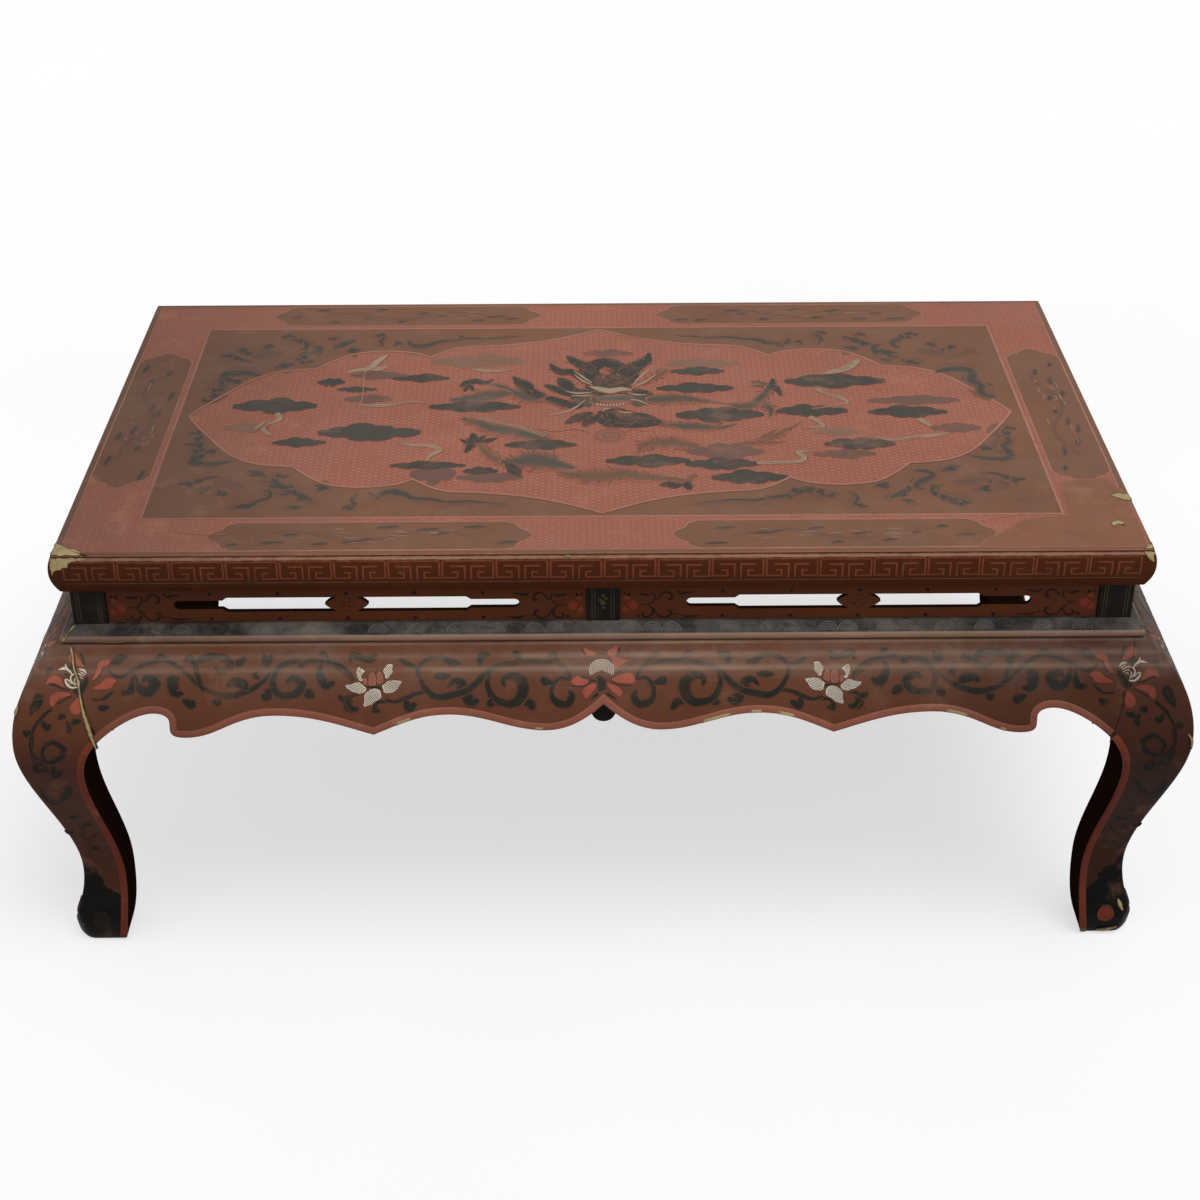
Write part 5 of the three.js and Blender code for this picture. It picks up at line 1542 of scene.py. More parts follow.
# %% The vine of half an apron and of a leg
VINE = [
    [(28, 36, 2), (32, 28, 4.5), (40, 21, 5), (53, 20, 5), (71, 20, 5), (90, 23, 5), (101, 29, 5.5),
     (110, 38, 6),
     (119, 45, 6.5), (130, 48, 7), (143, 50, 6.5), (152, 45, 5.5), (158, 36, 4.5), (161, 27, 4.5),
     (158, 21, 4.5),
     (151, 16, 4), (140, 15, 4.5), (131, 20, 7.5), (123, 21, 2.5)],
    [(38, 21, 2), (43, 15, 8.5), (48, 13, 2)],
    [(70, 20, 2), (74, 13, 8.5), (78, 11, 2)],
    [(98, 13, 2), (106, 15, 9.5), (108, 23, 3)],
    [(28, 36, 2), (37, 34, 4), (43, 40, 4.5), (44, 50, 4.5), (39, 56, 7.5), (31, 57, 7.5), (27, 50, 6.5),
     (30, 45, 2)],
    [(43, 39, 2), (51, 37, 8.5), (55, 33, 2.5)],
    [(98, 28, 3.5), (100, 39, 5), (95, 51, 6.5), (84, 56, 7.5), (74, 54, 9.5), (69, 45, 11), (71, 36, 10.5),
     (80, 32, 7.5), (86, 36, 5), (84, 42, 2)],
    [(95, 51, 2.5), (98, 56, 6.5), (93, 57, 2)],
    [(72, 55, 3.5), (63, 56, 8.5), (59, 63, 4.5)],
    [(101, 29, 3.5), (109, 39, 5.5), (118, 47, 10.5), (113, 55, 9.5), (107, 52, 2.5)],
    [(127, 48, 5.5), (122, 40, 9.5), (128, 36, 6.5), (135, 42, 2)],
    [(151, 45, 3), (163, 47, 4), (172, 51, 4.5), (182, 54, 3), (190, 51, 2)],
    [(172, 51, 3.5), (169, 59, 9.5), (162, 55, 3)],
    [(188, 53, 2), (196, 55, 3), (198, 62, 4.5), (193, 61, 2)],
    [(160, 24, 3), (170, 21, 5.5), (177, 16, 3)],
    [(132, 32, 3), (141, 32, 7.5), (148, 32, 3)],
    [(196, 11, 3), (200, 16, 8.5), (207, 16, 6.5), (216, 13, 7.5), (218, 20, 2)],
    [(215, 36, 2), (220, 28, 4.5), (230, 21, 4.5), (242, 18, 4.5), (257, 16, 4.5)],
    [(243, 20, 2.5), (245, 29, 7), (239, 39, 9.5), (231, 36, 3)],
    [(238, 16, 2), (243, 11, 6), (247, 11, 2)],
    [(215, 47, 2), (224, 51, 5.5), (229, 48, 3)],
    [(219, 50, 3), (221, 58, 10.5), (214, 61, 4.5)],
    [(256, 42, 4.5), (253, 47, 8.5), (256, 51, 2)],
    [(240, 18, 5), (259, 18, 5), (275, 20, 5.5), (283, 27, 5.5), (286, 37, 6), (282, 46, 6.5), (272, 48, 7),
     (263, 44, 8), (261, 37, 8), (269, 33, 7), (275, 37, 2)],
    [(250, 50, 2.5), (255, 46, 10), (261, 42, 2.5)],
    [(285, 40, 3), (291, 48, 10.5), (296, 48, 2)],
    [(286, 11, 2), (290, 18, 10.5), (294, 11, 2)],
    [(256, 16, 2), (260, 21, 7), (264, 18, 2)],
    [(286, 27, 3.5), (296, 37, 4.5), (308, 44, 5.5), (324, 48, 6.5), (338, 45, 5), (349, 39, 4),
     (360, 29, 4),
     (370, 21, 4), (382, 16, 4.5), (396, 20, 4.5), (407, 25, 4), (417, 31, 3), (425, 28, 2.5), (428, 24, 2)],
    [(296, 33, 2), (301, 31, 6), (300, 27, 2)],
    [(311, 13, 2), (314, 18, 9), (321, 21, 2.5)],
    [(344, 45, 3), (349, 33, 5), (352, 21, 5.5), (347, 15, 6.5), (335, 13, 7.5), (325, 16, 8), (322, 23, 7),
     (330, 27, 5), (336, 23, 2)],
    [(307, 44, 3), (310, 38, 10), (319, 36, 9), (324, 40, 2.5)],
    [(331, 48, 2.5), (334, 53, 8), (338, 51, 2)],
    [(349, 23, 2), (357, 15, 8), (362, 18, 3)],
    [(366, 32, 3), (372, 34, 11.5), (370, 45, 9), (362, 45, 2.5)],
    [(365, 51, 2), (357, 55, 10), (355, 51, 2)],
    [(376, 15, 2), (382, 13, 7.5), (387, 16, 2)],
    [(405, 28, 2.5), (401, 40, 7), (393, 44, 10), (387, 37, 10.5), (394, 32, 7.5), (399, 36, 2)],
    [(407, 29, 2), (408, 42, 7), (414, 45, 5.5), (416, 43, 2)],
    [(411, 13, 2), (419, 15, 10.5), (425, 20, 3)],
    [(423, 43, 2), (431, 50, 2), (442, 50, 2)],
    [(427, 56, 2), (432, 58, 7.5), (437, 57, 2)],
]
LEG_VINE = [
    [(6, 57, 2), (16, 66, 4), (24, 78, 3), (28, 91, 3), (27, 102, 3), (19, 110, 3.5), (10, 110, 5),
     (2, 104, 6.5),
     (0, 96, 7), (7, 90, 6.5), (15, 92, 2)],
    [(27, 102, 2), (23, 111, 2), (16, 121, 2)],
    [(13, 50, 2), (20, 55, 11), (25, 63, 2.5)],
    [(16, 68, 2), (12, 75, 8.5), (8, 72, 2)],
    [(25, 78, 2), (30, 81, 8.5), (32, 77, 2)],
    [(24, 110, 2), (27, 119, 9.5), (23, 124, 2)],
    [(12, 115, 2), (11, 127, 10.5), (4, 121, 2)],
    [(-18, 70, 2), (-13, 70, 7.5), (-9, 73, 2)],
    [(-6, 66, 2), (-2, 65, 7.5), (1, 68, 2)],
    [(-9, 74, 2), (-7, 78, 7.5), (-4, 80, 2)],
    [(0, 142, 2.5), (7, 155, 9.5), (17, 164, 4), (25, 156, 8.5), (28, 145, 2)],
    [(2, 186, 2), (7, 188, 8.5), (11, 190, 2)],
    [(-8, 199, 2), (-5, 198, 6.5), (0, 200, 2)],
    [(-5, 222, 2), (0, 220, 2), (4, 212, 2)],
    [(-10, 231, 2), (-5, 232, 8.5), (-2, 234, 2)],
    [(5.5, 22.3, 3.2), (8.5, 24.9, 7), (10.2, 28.2, 1.9)],
    [(12.9, 48.1, 2.5), (17.3, 46.9, 7), (21.2, 52, 5.1), (22.6, 57.1, 2.5)],
    [(22.1, 61, 2.5), (24.1, 62.6, 4.4), (23.6, 64.3, 1.9)],
    [(6.1, 58.9, 1.9), (12, 62.2, 3.8), (16.9, 67.7, 3.8), (22.5, 74.1, 2.5), (24.9, 79.7, 1.9),
     (26, 88.6, 2.2)],
    [(17.1, 70.5, 2.5), (13.6, 74, 5.1), (9.8, 74, 3.2)],
    [(26.6, 77.6, 2.5), (30, 79.7, 5.1), (28.6, 84.2, 1.9)],
    [(-4.9, 65.5, 1.9), (-2.5, 64.1, 5.7), (0.2, 62.1, 2.5)],
    [(-18.1, 67.5, 1.9), (-13.5, 69.6, 5.7), (-9.6, 71, 3.8)],
    [(-5.9, 69, 2.5), (-7.3, 75.2, 5.1), (-6.9, 80.2, 2.6)],
    [(1, 93.7, 1.3), (7.6, 90, 5.1), (15.6, 92.3, 3.2)],
    [(2.6, 140.5, 2.1), (9.4, 158.1, 5.7), (20.2, 167.4, 5), (26.7, 155.3, 5), (27.8, 142.5, 1.8)],
    [(-6, 194.8, 1.8), (-0.5, 200.9, 5.5), (4.4, 198, 1.8)],
    [(9.6, 206.9, 1.8), (13.9, 211, 4.7), (18, 207, 1.5)],
    [(-10.5, 210.7, 1.5), (-7, 216.5, 3.7), (-4.1, 214.2, 1.1)],
    [(-9.4, 229.3, 1.8), (-5.1, 233.2, 5.5), (-2, 229.4, 1.8)],
    [(0.9, 94.9, 2.1), (5.6, 90.8, 4.2), (14.6, 92.9, 4.2), (19.1, 101.3, 3.5), (15.1, 110, 3.2),
     (5.7, 105.4, 4.2)],
    [(23.9, 82.8, 2.1), (27.6, 99.2, 3.5), (25, 117.2, 3.5), (10.8, 127.1, 4.2), (18.8, 132.4, 1.8)],
    [(1, 232.2, 1.1), (-0.4, 242.6, 1.1), (-3.9, 249.8, 0.7)],
    [(2.5, 197.9, 1.1), (1, 221, 1.1), (-2.7, 232.1, 0.7)],
]
CORNER_PETALS = [
    [(-44.2, 16.3), (-39.7, 15.6), (-35.3, 16.7), (-33.1, 20.1), (-32.2, 25.3), (-29.9, 30.5), (-28.7, 33.3),
      (-31.3, 33), (-34.9, 29.2), (-36.6, 24.6), (-38.2, 21.4), (-42, 20.7)],
    [(-50.4, 34.4), (-47.7, 32.2), (-43.2, 31.3), (-38.9, 33.2), (-35.9, 36.5), (-30.8, 39.1), (-29.6, 41),
      (-34.7, 41.6), (-39.8, 41.6), (-45.5, 40.3), (-47.9, 35.9)],
    [(-21.8, 21.8), (-19.6, 18.2), (-16.7, 14.3), (-13.4, 9.5), (-10.4, 8.1), (-7.5, 11), (-7.5, 14.8),
     (-9.4, 17.9),
      (-13.3, 19.6), (-17.3, 21.8)],
    [(-5.5, 39.9), (-3.4, 34.3), (-1.3, 31.3), (1.9, 29.1), (6.4, 29.8), (9.4, 32.6), (11.4, 37.5),
     (7.3, 35.6),
      (3.5, 35.9), (-0.4, 38)],
    [(-11.2, 45.5), (-5.5, 43.7), (0.8, 43.1), (5.9, 45.6), (7.8, 49.4), (7.3, 55.7), (3.5, 54.4),
     (0.8, 50.6),
      (-3.6, 48.7)],
    [(-19.5, 46.7), (-17, 47.9), (-13.1, 51.2), (-9.9, 55.6), (-9.7, 60.8), (-12.7, 63.3), (-17.8, 62.6),
      (-19.3, 56.8), (-18.8, 52.4)],
]
CORNER_SHADOWS = [
    [(-37.8, 23.9, 1.3), (-34.9, 29.8, 1.9), (-29.4, 34.2, 1)],
    [(-47.4, 42.8, 0.8), (-41.7, 46.5, 1.9), (-36, 50.4, 1.9), (-27.7, 49.8, 1)],
    [(-16.8, 8, 1.3), (-19.9, 14.7, 3.2), (-21.6, 20.2, 1.9)],
    [(-9.3, 41.8, 1.9), (-3.6, 40.6, 1.9), (3.4, 37.4, 2.5), (8.5, 37.5, 1)],
    [(-12.5, 46.7, 1), (-5.5, 49.9, 1.6), (2.2, 54.4, 1.9)],
    [(-20.1, 47.9, 1.3), (-20.7, 53.6, 1.9), (-19.8, 60.7, 0.6)],
    [(-24.1, 29.9, 2.5), (-23.1, 35.4, 6.3), (-18.8, 42.4, 8.2), (-12.5, 43, 3.8)],
    [(-15.5, 23.4, 2.5), (-10.5, 23.4, 5.1), (-5.9, 21.6, 1.3)],
    [(-8.9, 30, 2.5), (-4.3, 27.1, 2.5)],
    [(-40.2, 58, 2.5), (-37, 58.6, 5.1), (-35.2, 56, 1.9)],
    [(-58.7, 13.6, 3.2), (-50.5, 15.9, 7), (-46.7, 15.2, 3.2)],
    [(-62.6, 44, 2.5), (-57.5, 44, 5.7), (-53.7, 42.8, 2.5)],
]
SHELL = [
    [(-24, 28, 0.6), (-21.3, 24.7, 1.7), (-16.9, 24, 1)],
    [(-22.8, 29, 0.5), (-20.2, 27, 0.8), (-17.6, 26, 0.4)],
    [(-21.6, 30.2, 0.6), (-16.4, 27.7, 1), (-12, 28.7, 1), (-10.3, 31.9, 1.1), (-12.4, 36.1, 1),
     (-16.2, 37.9, 0.5)],
    [(-21.1, 32.4, 0.5), (-17.8, 30.6, 0.6), (-14.7, 31.2, 0.8), (-13.6, 34.3, 0.8), (-15.6, 36.7, 0.4)],
    [(-19.2, 33.6, 0.5), (-16.7, 33.1, 0.6), (-16.1, 34.9, 0.4)],
    [(-16.3, 39.2, 0.8), (-11.8, 39.9, 1.5), (-7.4, 37.3, 1.4), (-5.9, 33.1, 1.1), (-9.1, 33.7, 0.8),
      (-11.1, 36.7, 0.5)],
    [(-9.9, 38, 0.5), (-7.2, 34.9, 0.5)],
    [(-11.7, 28.4, 1), (-9.3, 25.4, 1.3), (-6.7, 23.5, 1.9), (-5, 19, 0.4)],
    [(-6.7, 23.5, 1.3), (-3.5, 23.2, 2.3), (0.6, 24.3, 0.3)],
]
LOTUS_PETALS = [
    [(181.9, 21.6), (187.2, 21.6), (188.9, 24.4), (190.2, 27.6), (188.3, 31), (188.7, 32.4), (186.4, 33.9),
      (184.2, 31), (181.9, 28), (182.7, 25.4)],
    [(205.9, 27.2), (209.2, 24.8), (211.8, 23.6), (213.1, 27), (213, 31.2), (210.8, 35.2), (208.7, 36),
     (208, 34.3),
      (209, 32.1), (207.7, 28.9)],
    [(173.9, 36.5), (178, 35.6), (182.7, 35.2), (186.8, 36.3), (189.1, 38.2), (191.3, 40), (189.9, 43.2),
      (189.5, 45.9), (185.3, 46.3), (181.6, 45.4), (178.4, 43.2), (176.1, 39.5)],
    [(204.7, 42.4), (207.5, 39.2), (211.2, 36.7), (215.3, 37.6), (218.5, 38.8), (222.5, 38.8), (221.3, 42.1),
      (217.6, 44.3), (212.5, 46.5), (207.9, 46.2), (206.1, 45.1)],
    [(192.7, 44.6), (195.9, 42.4), (200.1, 42.8), (203.8, 44.7), (206, 46.9), (206.7, 50.1), (206.5, 53.4),
      (207.7, 58), (202.9, 57), (199.2, 55.6), (196.8, 53.3), (192.7, 51), (191.8, 49.1)],
]
BUD = [
    [(190.4, 37.2), (190.1, 32.8), (191.6, 29.2), (193, 27.6), (195.3, 29.7), (195.6, 32.9), (195.5, 38.2)],
    [(196.4, 38.7), (196.3, 32.9), (197.6, 29.7), (199.7, 28.3), (202.2, 30.2), (202.7, 33.8), (202.9, 39.2),
      (199.2, 40.1)],
    [(203.8, 39.2), (204.3, 34.7), (206.2, 32.9), (207.6, 34.7), (206.6, 38.3)],
]
LOTUS_SHADOWS = [
    [(194.9, 13.1, 2.3), (198.1, 13.7, 5.1), (202.6, 15.8, 3.7), (207.3, 14.8, 3.2), (211.9, 15.9, 5.1),
      (216.6, 13.3, 5.1), (218.9, 14.4, 1.4)],
    [(190.9, 36.3, 0.9), (191.8, 41.9, 1.8), (197.3, 41, 2.8), (204.7, 41.1, 1.4)],
    [(188.1, 48.2, 0.5), (184.4, 51.8, 0.9), (178.9, 52.3, 0.9), (174.3, 51.3, 0.5)],
    [(178.9, 52.7, 0.9), (188.1, 54.6, 1.1), (195.5, 55.1, 1.8), (197.3, 57.4, 2.3), (194.2, 61.7, 3.7),
      (192.3, 62.1, 1.4)],
    [(210.6, 47.8, 0.9), (217.6, 49.3, 2.8), (220.8, 53, 5.1), (218.1, 59, 6), (214, 60.4, 5.1),
     (212.1, 58.5, 2.8)],
    [(222.7, 53.9, 1.8), (226.3, 51.2, 5.5), (227.2, 47.5, 3.7)],
    [(215.8, 37.4, 0.6), (219.6, 33, 1.1), (225.3, 28, 1.4), (233.8, 21.5, 1.8)],
]
MIDDLE_PETALS = [
    [(-17.5, 6.7), (-15.6, 13.4), (-12.5, 14.9), (-8, 14.2), (-6.1, 11.9), (-11.8, 9.3)],
    [(3.4, 11.2), (4.7, 15), (9.7, 15), (12, 10.6), (11.7, 5.3), (7.3, 7.6)],
    [(6.6, 15), (7.8, 21.2), (9, 26.3), (14.7, 23.7), (17.3, 22.5), (22.4, 18.6), (17.3, 17.9), (11, 15.7)],
    [(7, 35.7), (10.8, 33.3), (17.2, 30.9), (23.5, 29.7), (27.6, 35.2), (26.6, 38.9), (19.7, 39.5),
     (10.8, 38.2)],
    [(2.6, 38.8), (4.4, 42.6), (9.5, 47.5), (13.9, 50.8), (16.4, 46.4), (13.3, 42.6), (8.3, 40.1)],
    [(-18.4, 44.9), (-14.5, 41.2), (-8.2, 38.7), (-5.7, 40.7), (-8.2, 45), (-12.1, 49.3), (-15.2, 52.5),
      (-17.7, 48.7)],
    [(-28.4, 37.3), (-25.3, 34.3), (-22.1, 31.9), (-18.9, 34.3), (-13.2, 36.2), (-13.9, 39.3), (-19.6, 41.2),
      (-25.3, 40.5)],
]
MIDDLE_SHADOWS = [
    [(-18.8, 8.2, 1.5), (-16.3, 12.6, 2.2), (-15, 14.8, 0.9)],
    [(15.2, 6.1, 1.3), (13.9, 10.6, 2.5), (12.9, 15, 1.3)],
    [(27.1, 20.6, 0.8), (21.1, 25.1, 1.3), (16, 28, 1.3), (9.6, 30.8, 0.9)],
    [(-21.4, 32.2, 0.9), (-16.4, 33.4, 1.5), (-10.7, 35, 1.5), (-5.6, 37.4, 2.5)],
    [(-27.2, 41.1, 1), (-20.9, 41.9, 1.3), (-15.8, 40.7, 1.5), (-12, 37.4, 1.9), (-6.9, 36.8, 2.5)],
    [(-5.6, 32.6, 3.2), (-1.8, 37.5, 9.5), (-1.9, 46.2, 7)],
    [(2.5, 47.5, 3.2), (6.3, 50.1, 2.5), (11.4, 52.7, 0.8)],
    [(-4.4, 47.5, 3.2), (-8.3, 50.6, 2.5), (-10.8, 52.5, 0.9)],
    [(7.6, 37.5, 1.3), (14.6, 40.8, 1), (24.7, 40.8, 0.6)],
    [(-6.7, 13.4, 1), (-2.9, 12.8, 1.9), (2.1, 13.3, 0.9)],
]
print("strokes:", len(VINE), "and", len(LEG_VINE))

# %% Petals and shells
def petals(bm, core, outlines, way=1, shift=0.0, rim=0.7):
    """Soft shapes, moved along the side and mirrored for its other half."""
    for outline in outlines:
        fill(bm, core, smooth_line([((x + shift) * way, s) for x, s in outline], 2, True), rim)


def veined(bm, core, outline, pitch=1.35):
    """Fine lines along a petal, from its middle towards its tip."""
    middle = sum((Vector(p) for p in outline), Vector((0, 0))) / len(outline)
    way = (max((Vector(p) for p in outline), key=lambda p: (p - middle).length) - middle).normalized()
    across = Vector((-way.y, way.x)) * pitch
    for k in range(-7, 8):
        row = [middle + across * k + way * (t / 2) for t in range(-40, 41)]
        row = [q for q in row if inside(outline, q.x, q.y)]
        if len(row) > 8:
            brush(bm, core, [(row[i].x, row[i].y, 0.55) for i in (1, len(row) // 2, -2)], 3)


# %% Paint the vines
MIDDLE_PART, JOIN_ROOM = 70, 12
FLOWER_HEART = (-1.5, 27.5)
VINE_PAINTS = {
    "vine": painted("vine_dark", "25251f", "apron", 0.45, 0.35, 0.2),
    "petals": painted("petal_coral", "a0503f", "apron", 0.5, 0.5, 0.35),
    "white": painted("petal_white", "d8cfbd", "apron", 0.3, 0.3, 0.12),
    "bud": painted("bud_pink", "a5614f", "apron", 0.5, 0.3, 0.2),
    "veins": painted("vein_brown", "4a4238", "apron", 0.3, 0.3, 0.2),
}
HEIGHTS = {"vine": 0.12, "petals": 0.17, "white": 0.22, "bud": 0.3, "veins": 0.3}
for side, (length, _, _) in SIDES.items():
    half, shift = length / 2, (LENGTH - length) / 2
    sheets = {name: sheet() for name in VINE_PAINTS}
    shake = random.Random(8)
    for way in (1, -1):
        def flip(points, by=0.0):
            return [((x + by) * way, s, w) for x, s, w in points]

        for stroke in VINE:
            x = stroke[0][0]
            if shift and MIDDLE_PART < x < MIDDLE_PART + shift + JOIN_ROOM:
                continue
            by = -shift if x > MIDDLE_PART else 0
            by += shake.uniform(-1, 1)
            brush(*sheets["vine"], flip([(a, b, w * 1.15) for a, b, w in stroke], by), 4)
        for stroke in LEG_VINE:
            brush(*sheets["vine"], flip(stroke, half), 4)
        petals(*sheets["petals"], CORNER_PETALS, way, half)
        for stroke in CORNER_SHADOWS:
            brush(*sheets["vine"], flip(stroke, half), 4)
        for stroke in SHELL:
            brush(*sheets["white"], flip([(x, s, w * 1.25) for x, s, w in stroke], half), 4)
        if not shift:
            petals(*sheets["white"], LOTUS_PETALS, way)
            petals(*sheets["bud"], BUD, way)
            for outline in LOTUS_PETALS + BUD:
                veined(*sheets["veins"], [(x * way, s) for x, s in outline])
            for stroke in LOTUS_SHADOWS:
                brush(*sheets["vine"], flip(stroke), 4)
    petals(*sheets["petals"], MIDDLE_PETALS)
    for stroke in MIDDLE_SHADOWS:
        brush(*sheets["vine"], stroke, 4)
    for radius in (1.5, 3, 4.5, 6, 7.5, 9, 10.5):
        turn = [math.pi * blend(0.85, 2.15, k / 16) for k in range(17)]
        x, y = FLOWER_HEART
        strip(*sheets["white"], [(x + radius * math.cos(a), y + radius * 0.9 * math.sin(a), 0.6)
                                 for a in turn], rim=0.3)
    for name, (bm, core) in sheets.items():
        if not bm.verts:
            continue
        cut_rows(bm, 3)
        laid(bm, on_face, HEIGHTS[name], "paint_" + name + "_" + side, VINE_PAINTS[name], side_place(side),
             "brown_lacquer", 0.1)
    print(side, "vine painted")

# %% [markdown]
# ## Painting of the edge, the waist and the moulding
# A key fret in lighter red runs round the rails: between two bars, a pair of square hooks that mirror each
# other. Above it the arris is painted pale, partly as rubbed wear and partly as a painted highlight on the
# rounded edge.

# %% Key fret on the rails
FRET_UNIT, FRET_TOP, FRET_DROP, FRET_MARGIN, FRET_PEN = 46, 5.2, 18, 10, 1.6
HOOKS = [[(0.03, 0), (0.03, 0.92), (0.31, 0.92), (0.31, 0.6), (0.2, 0.6)],
         [(0.17, 0.28), (0.44, 0.28), (0.44, 1.05)],
         [(0.03, 0), (0.5, 0)]]
on_rail = wrapped(rail_line)
fret_red = painted("fret_red", "7c412c", "edge", 0.4, 0.5, 0.45)
arris_wear_and_highlight = painted("arris_wear_and_highlight", "9a745f", "edge", 0.7, 0.9, 0.4)
for side, (length, _, _) in SIDES.items():
    shake = random.Random(14)
    bm, core = sheet()
    count = round((length - 2 * FRET_MARGIN) / FRET_UNIT)
    unit = (length - 2 * FRET_MARGIN) / count
    for k in range(count):
        left, drop = -length / 2 + FRET_MARGIN + k * unit, FRET_TOP + shake.uniform(-0.4, 0.4)
        for hook in HOOKS:
            for turned in (False, True):
                line = [(left + unit * (1 - a if turned else a), drop + FRET_DROP * b, FRET_PEN) for a,
                        b in hook]
                strip(bm, core, line, rim=0.3, layer=0.02 * turned)
    cut_rows(bm, 2.0)
    laid(bm, on_rail, 0.12, "paint_fret_" + side, fret_red, side_place(side), "edge_lacquer")
    # The pale arris: rubbed wear together with a painted highlight along the rounded edge.
    bm, core = sheet()
    parts = round(length / 12)
    for end, down, thin, thick in ((1, 2.6, 3.6, 4.8), (5, 26.5, 0.3, 0.7)):
        strip(bm, core, [(blend(-length / 2 + end, length / 2 - end, k / parts), down,
                          shake.uniform(thin, thick))
                         for k in range(parts + 1)])
    laid(bm, on_rail, 0.1, "paint_arris_" + side, arris_wear_and_highlight, side_place(side), "edge_lacquer")
print("fret units on the long side:", round((LENGTH - 2 * FRET_MARGIN) / FRET_UNIT))

# %% [markdown]
# Small sprays of black vine with a red blossom fill the ends of each pierced panel, beside the posts. Each
# spray is drawn from the post's edge along the panel and up or down from the middle of the slot.

# %% Sprays on the waist
SPRAY = [
    [(28.7, 9.6, 1.1), (31, 7, 1.7), (30.4, 3, 1.7), (27.5, -0.4, 1.6), (24.1, -2.4, 1.5),
     (18.4, -1.7, 0.8)],
    [(25.2, -3, 1.3), (28.7, -6.4, 2.2), (29.3, -10.4, 2.3), (27, -13.7, 2.2), (23.5, -14.8, 2),
     (20.7, -13.8, 2),
     (20.2, -11.7, 2), (22.4, -10.4, 2)],
    [(14.9, -14, 1), (16.4, -13.6, 3.4), (18.4, -14, 1)],
    [(17.2, 8.3, 1.2), (20.7, 8, 3), (24.7, 7.3, 2.5), (28.7, 8.3, 0.9)],
    [(31.5, 3, 1.2), (35, 5.6, 1.7), (36.7, 8.3, 1.6), (39.6, 10, 1.9), (43.6, 9.6, 2.1), (45.9, 6.3, 2.2),
     (45, 3.3, 2.7),
     (42.4, 3, 1.9)],
    [(29.8, -5, 1.2), (31.5, -9.7, 1.6), (34.4, -13.3, 1.7), (38.4, -14.8, 1.9), (43, -14, 2.4),
     (45.3, -10.4, 2.7),
     (43.9, -8, 2.2), (41.6, -8.4, 1.6)],
    [(50.5, 8.3, 0.9), (53.3, 8.3, 2.7), (59, 9.6, 1.5), (64.2, 10, 0.9)],
    [(46, -12.6, 0.6), (50, -12, 0.9), (53.3, -12, 0.5)],
    [(53.3, -12, 0.5), (56.8, -14, 2.1), (61.3, -14.3, 2.2), (66.5, -14, 1.4), (71.7, -13.6, 0.5)],
]
BLOSSOM = [(11.8, -2.8, 5), (5.6, -6.5, 3.4), (6.8, 4.5, 3)]
SPRAY_BRUSH = 1.1
SLOT_MIDDLE = WAIST_BOTTOM + 16.8
PIN_ROWS = (WAIST_BOTTOM + 3, WAIST_TOP - 7.5)
PIN_PITCH = 59


def on_waist(x, z, out):
    return x, PANEL_SETBACK - out, z


low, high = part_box("centre_post_front")
CENTRE_HALF = (high.x - low.x) / 2 / MM
spray_black = painted("spray_black", "18130f", "waist", 0.45, 0.4, 0.2)
blossom_red = painted("blossom_red", "783223", "waist", 1.0, 0.5, 0.35)
pin_black = painted("pin_black", "120e0b", "waist", 0.2, 0.2, 0.1)
for side, (length, _, _) in SIDES.items():
    outer = length / 2 - POST_INSET
    ends = [(outer, -1)] + ([(CENTRE_HALF, 1)] if length > DEPTH else [])
    middle, half = ((outer + CENTRE_HALF) / 2, (outer - CENTRE_HALF) / 2) if length > DEPTH else (0, outer)
    sheets = {name: sheet() for name in ("spray", "blossom", "pin")}
    for way in (1, -1):
        for start, towards in ends:
            def at(points):
                return [((start + towards * a) * way, SLOT_MIDDLE + b, w) for a, b, w in points]

            for line in SPRAY:
                brush(*sheets["spray"], at([(a, b, w * SPRAY_BRUSH) for a, b, w in line]), 4)
            for x, z, radius in at(BLOSSOM):
                disc(*sheets["blossom"], x, z, radius, 0.8)
            strip(*sheets["pin"], at([(0.1, b, 1) for b in (-16.4, 0, 18.6)]), rim=1)
            for x, z, radius in at([(8.5, 8, 1.4), (4.5, 9, 0.9), (51, 11, 0.9)]):
                disc(*sheets["pin"], x, z, radius)
        if middle or way > 0:
            for k in (-2, -1, 0, 1, 2):
                for z in PIN_ROWS:
                    disc(*sheets["pin"], (middle + k * PIN_PITCH) * way, z, 1.5)
    paints = ((spray_black, 0.16), (blossom_red, 0.1), (pin_black, 0.5))
    for (name, (bm, core)), (look, height) in zip(sheets.items(), paints):
        laid(bm, on_waist, height, "paint_" + name + "_waist_" + side, look, side_place(side),
             "edge_lacquer")
print("waist painted on", len(SIDES), "sides")

# %% [markdown]
# The bridge in the middle of each slot is carved as a small blossom of four round petals round a bead.

# %% Blossoms on the bridges of the slots
PETAL_PARTS = 14
PETAL_RING = [(3.2, -0.6), (3.1, 0.35), (2.3, 0.85), (1, 1.05)]
blossom_finish = painted("rosette_red", "64321f", "waist", bump=0.3)
for side, (length, _, _) in SIDES.items():
    outer = length / 2 - POST_INSET
    bm = bmesh.new()
    for middle in ([-(outer + CENTRE_HALF) / 2, (outer + CENTRE_HALF) / 2] if length > DEPTH else [0]):
        for dx, dz, size in ((4.6, 0, 0.9), (-4.6, 0, 0.9), (0, 4, 0.9), (0, -4, 0.9), (0, 0, 0.55)):
            loft(bm, [[(x, PANEL_SETBACK - proud, z)
                       for x, z in circle(middle + dx, SLOT_MIDDLE + dz, radius * size, PETAL_PARTS)]
                      for radius, proud in PETAL_RING])
    made(bm, "rosette_" + side, blossom_finish, side_place(side), slot="edge_lacquer")
print("rosettes on", len(SIDES), "sides")

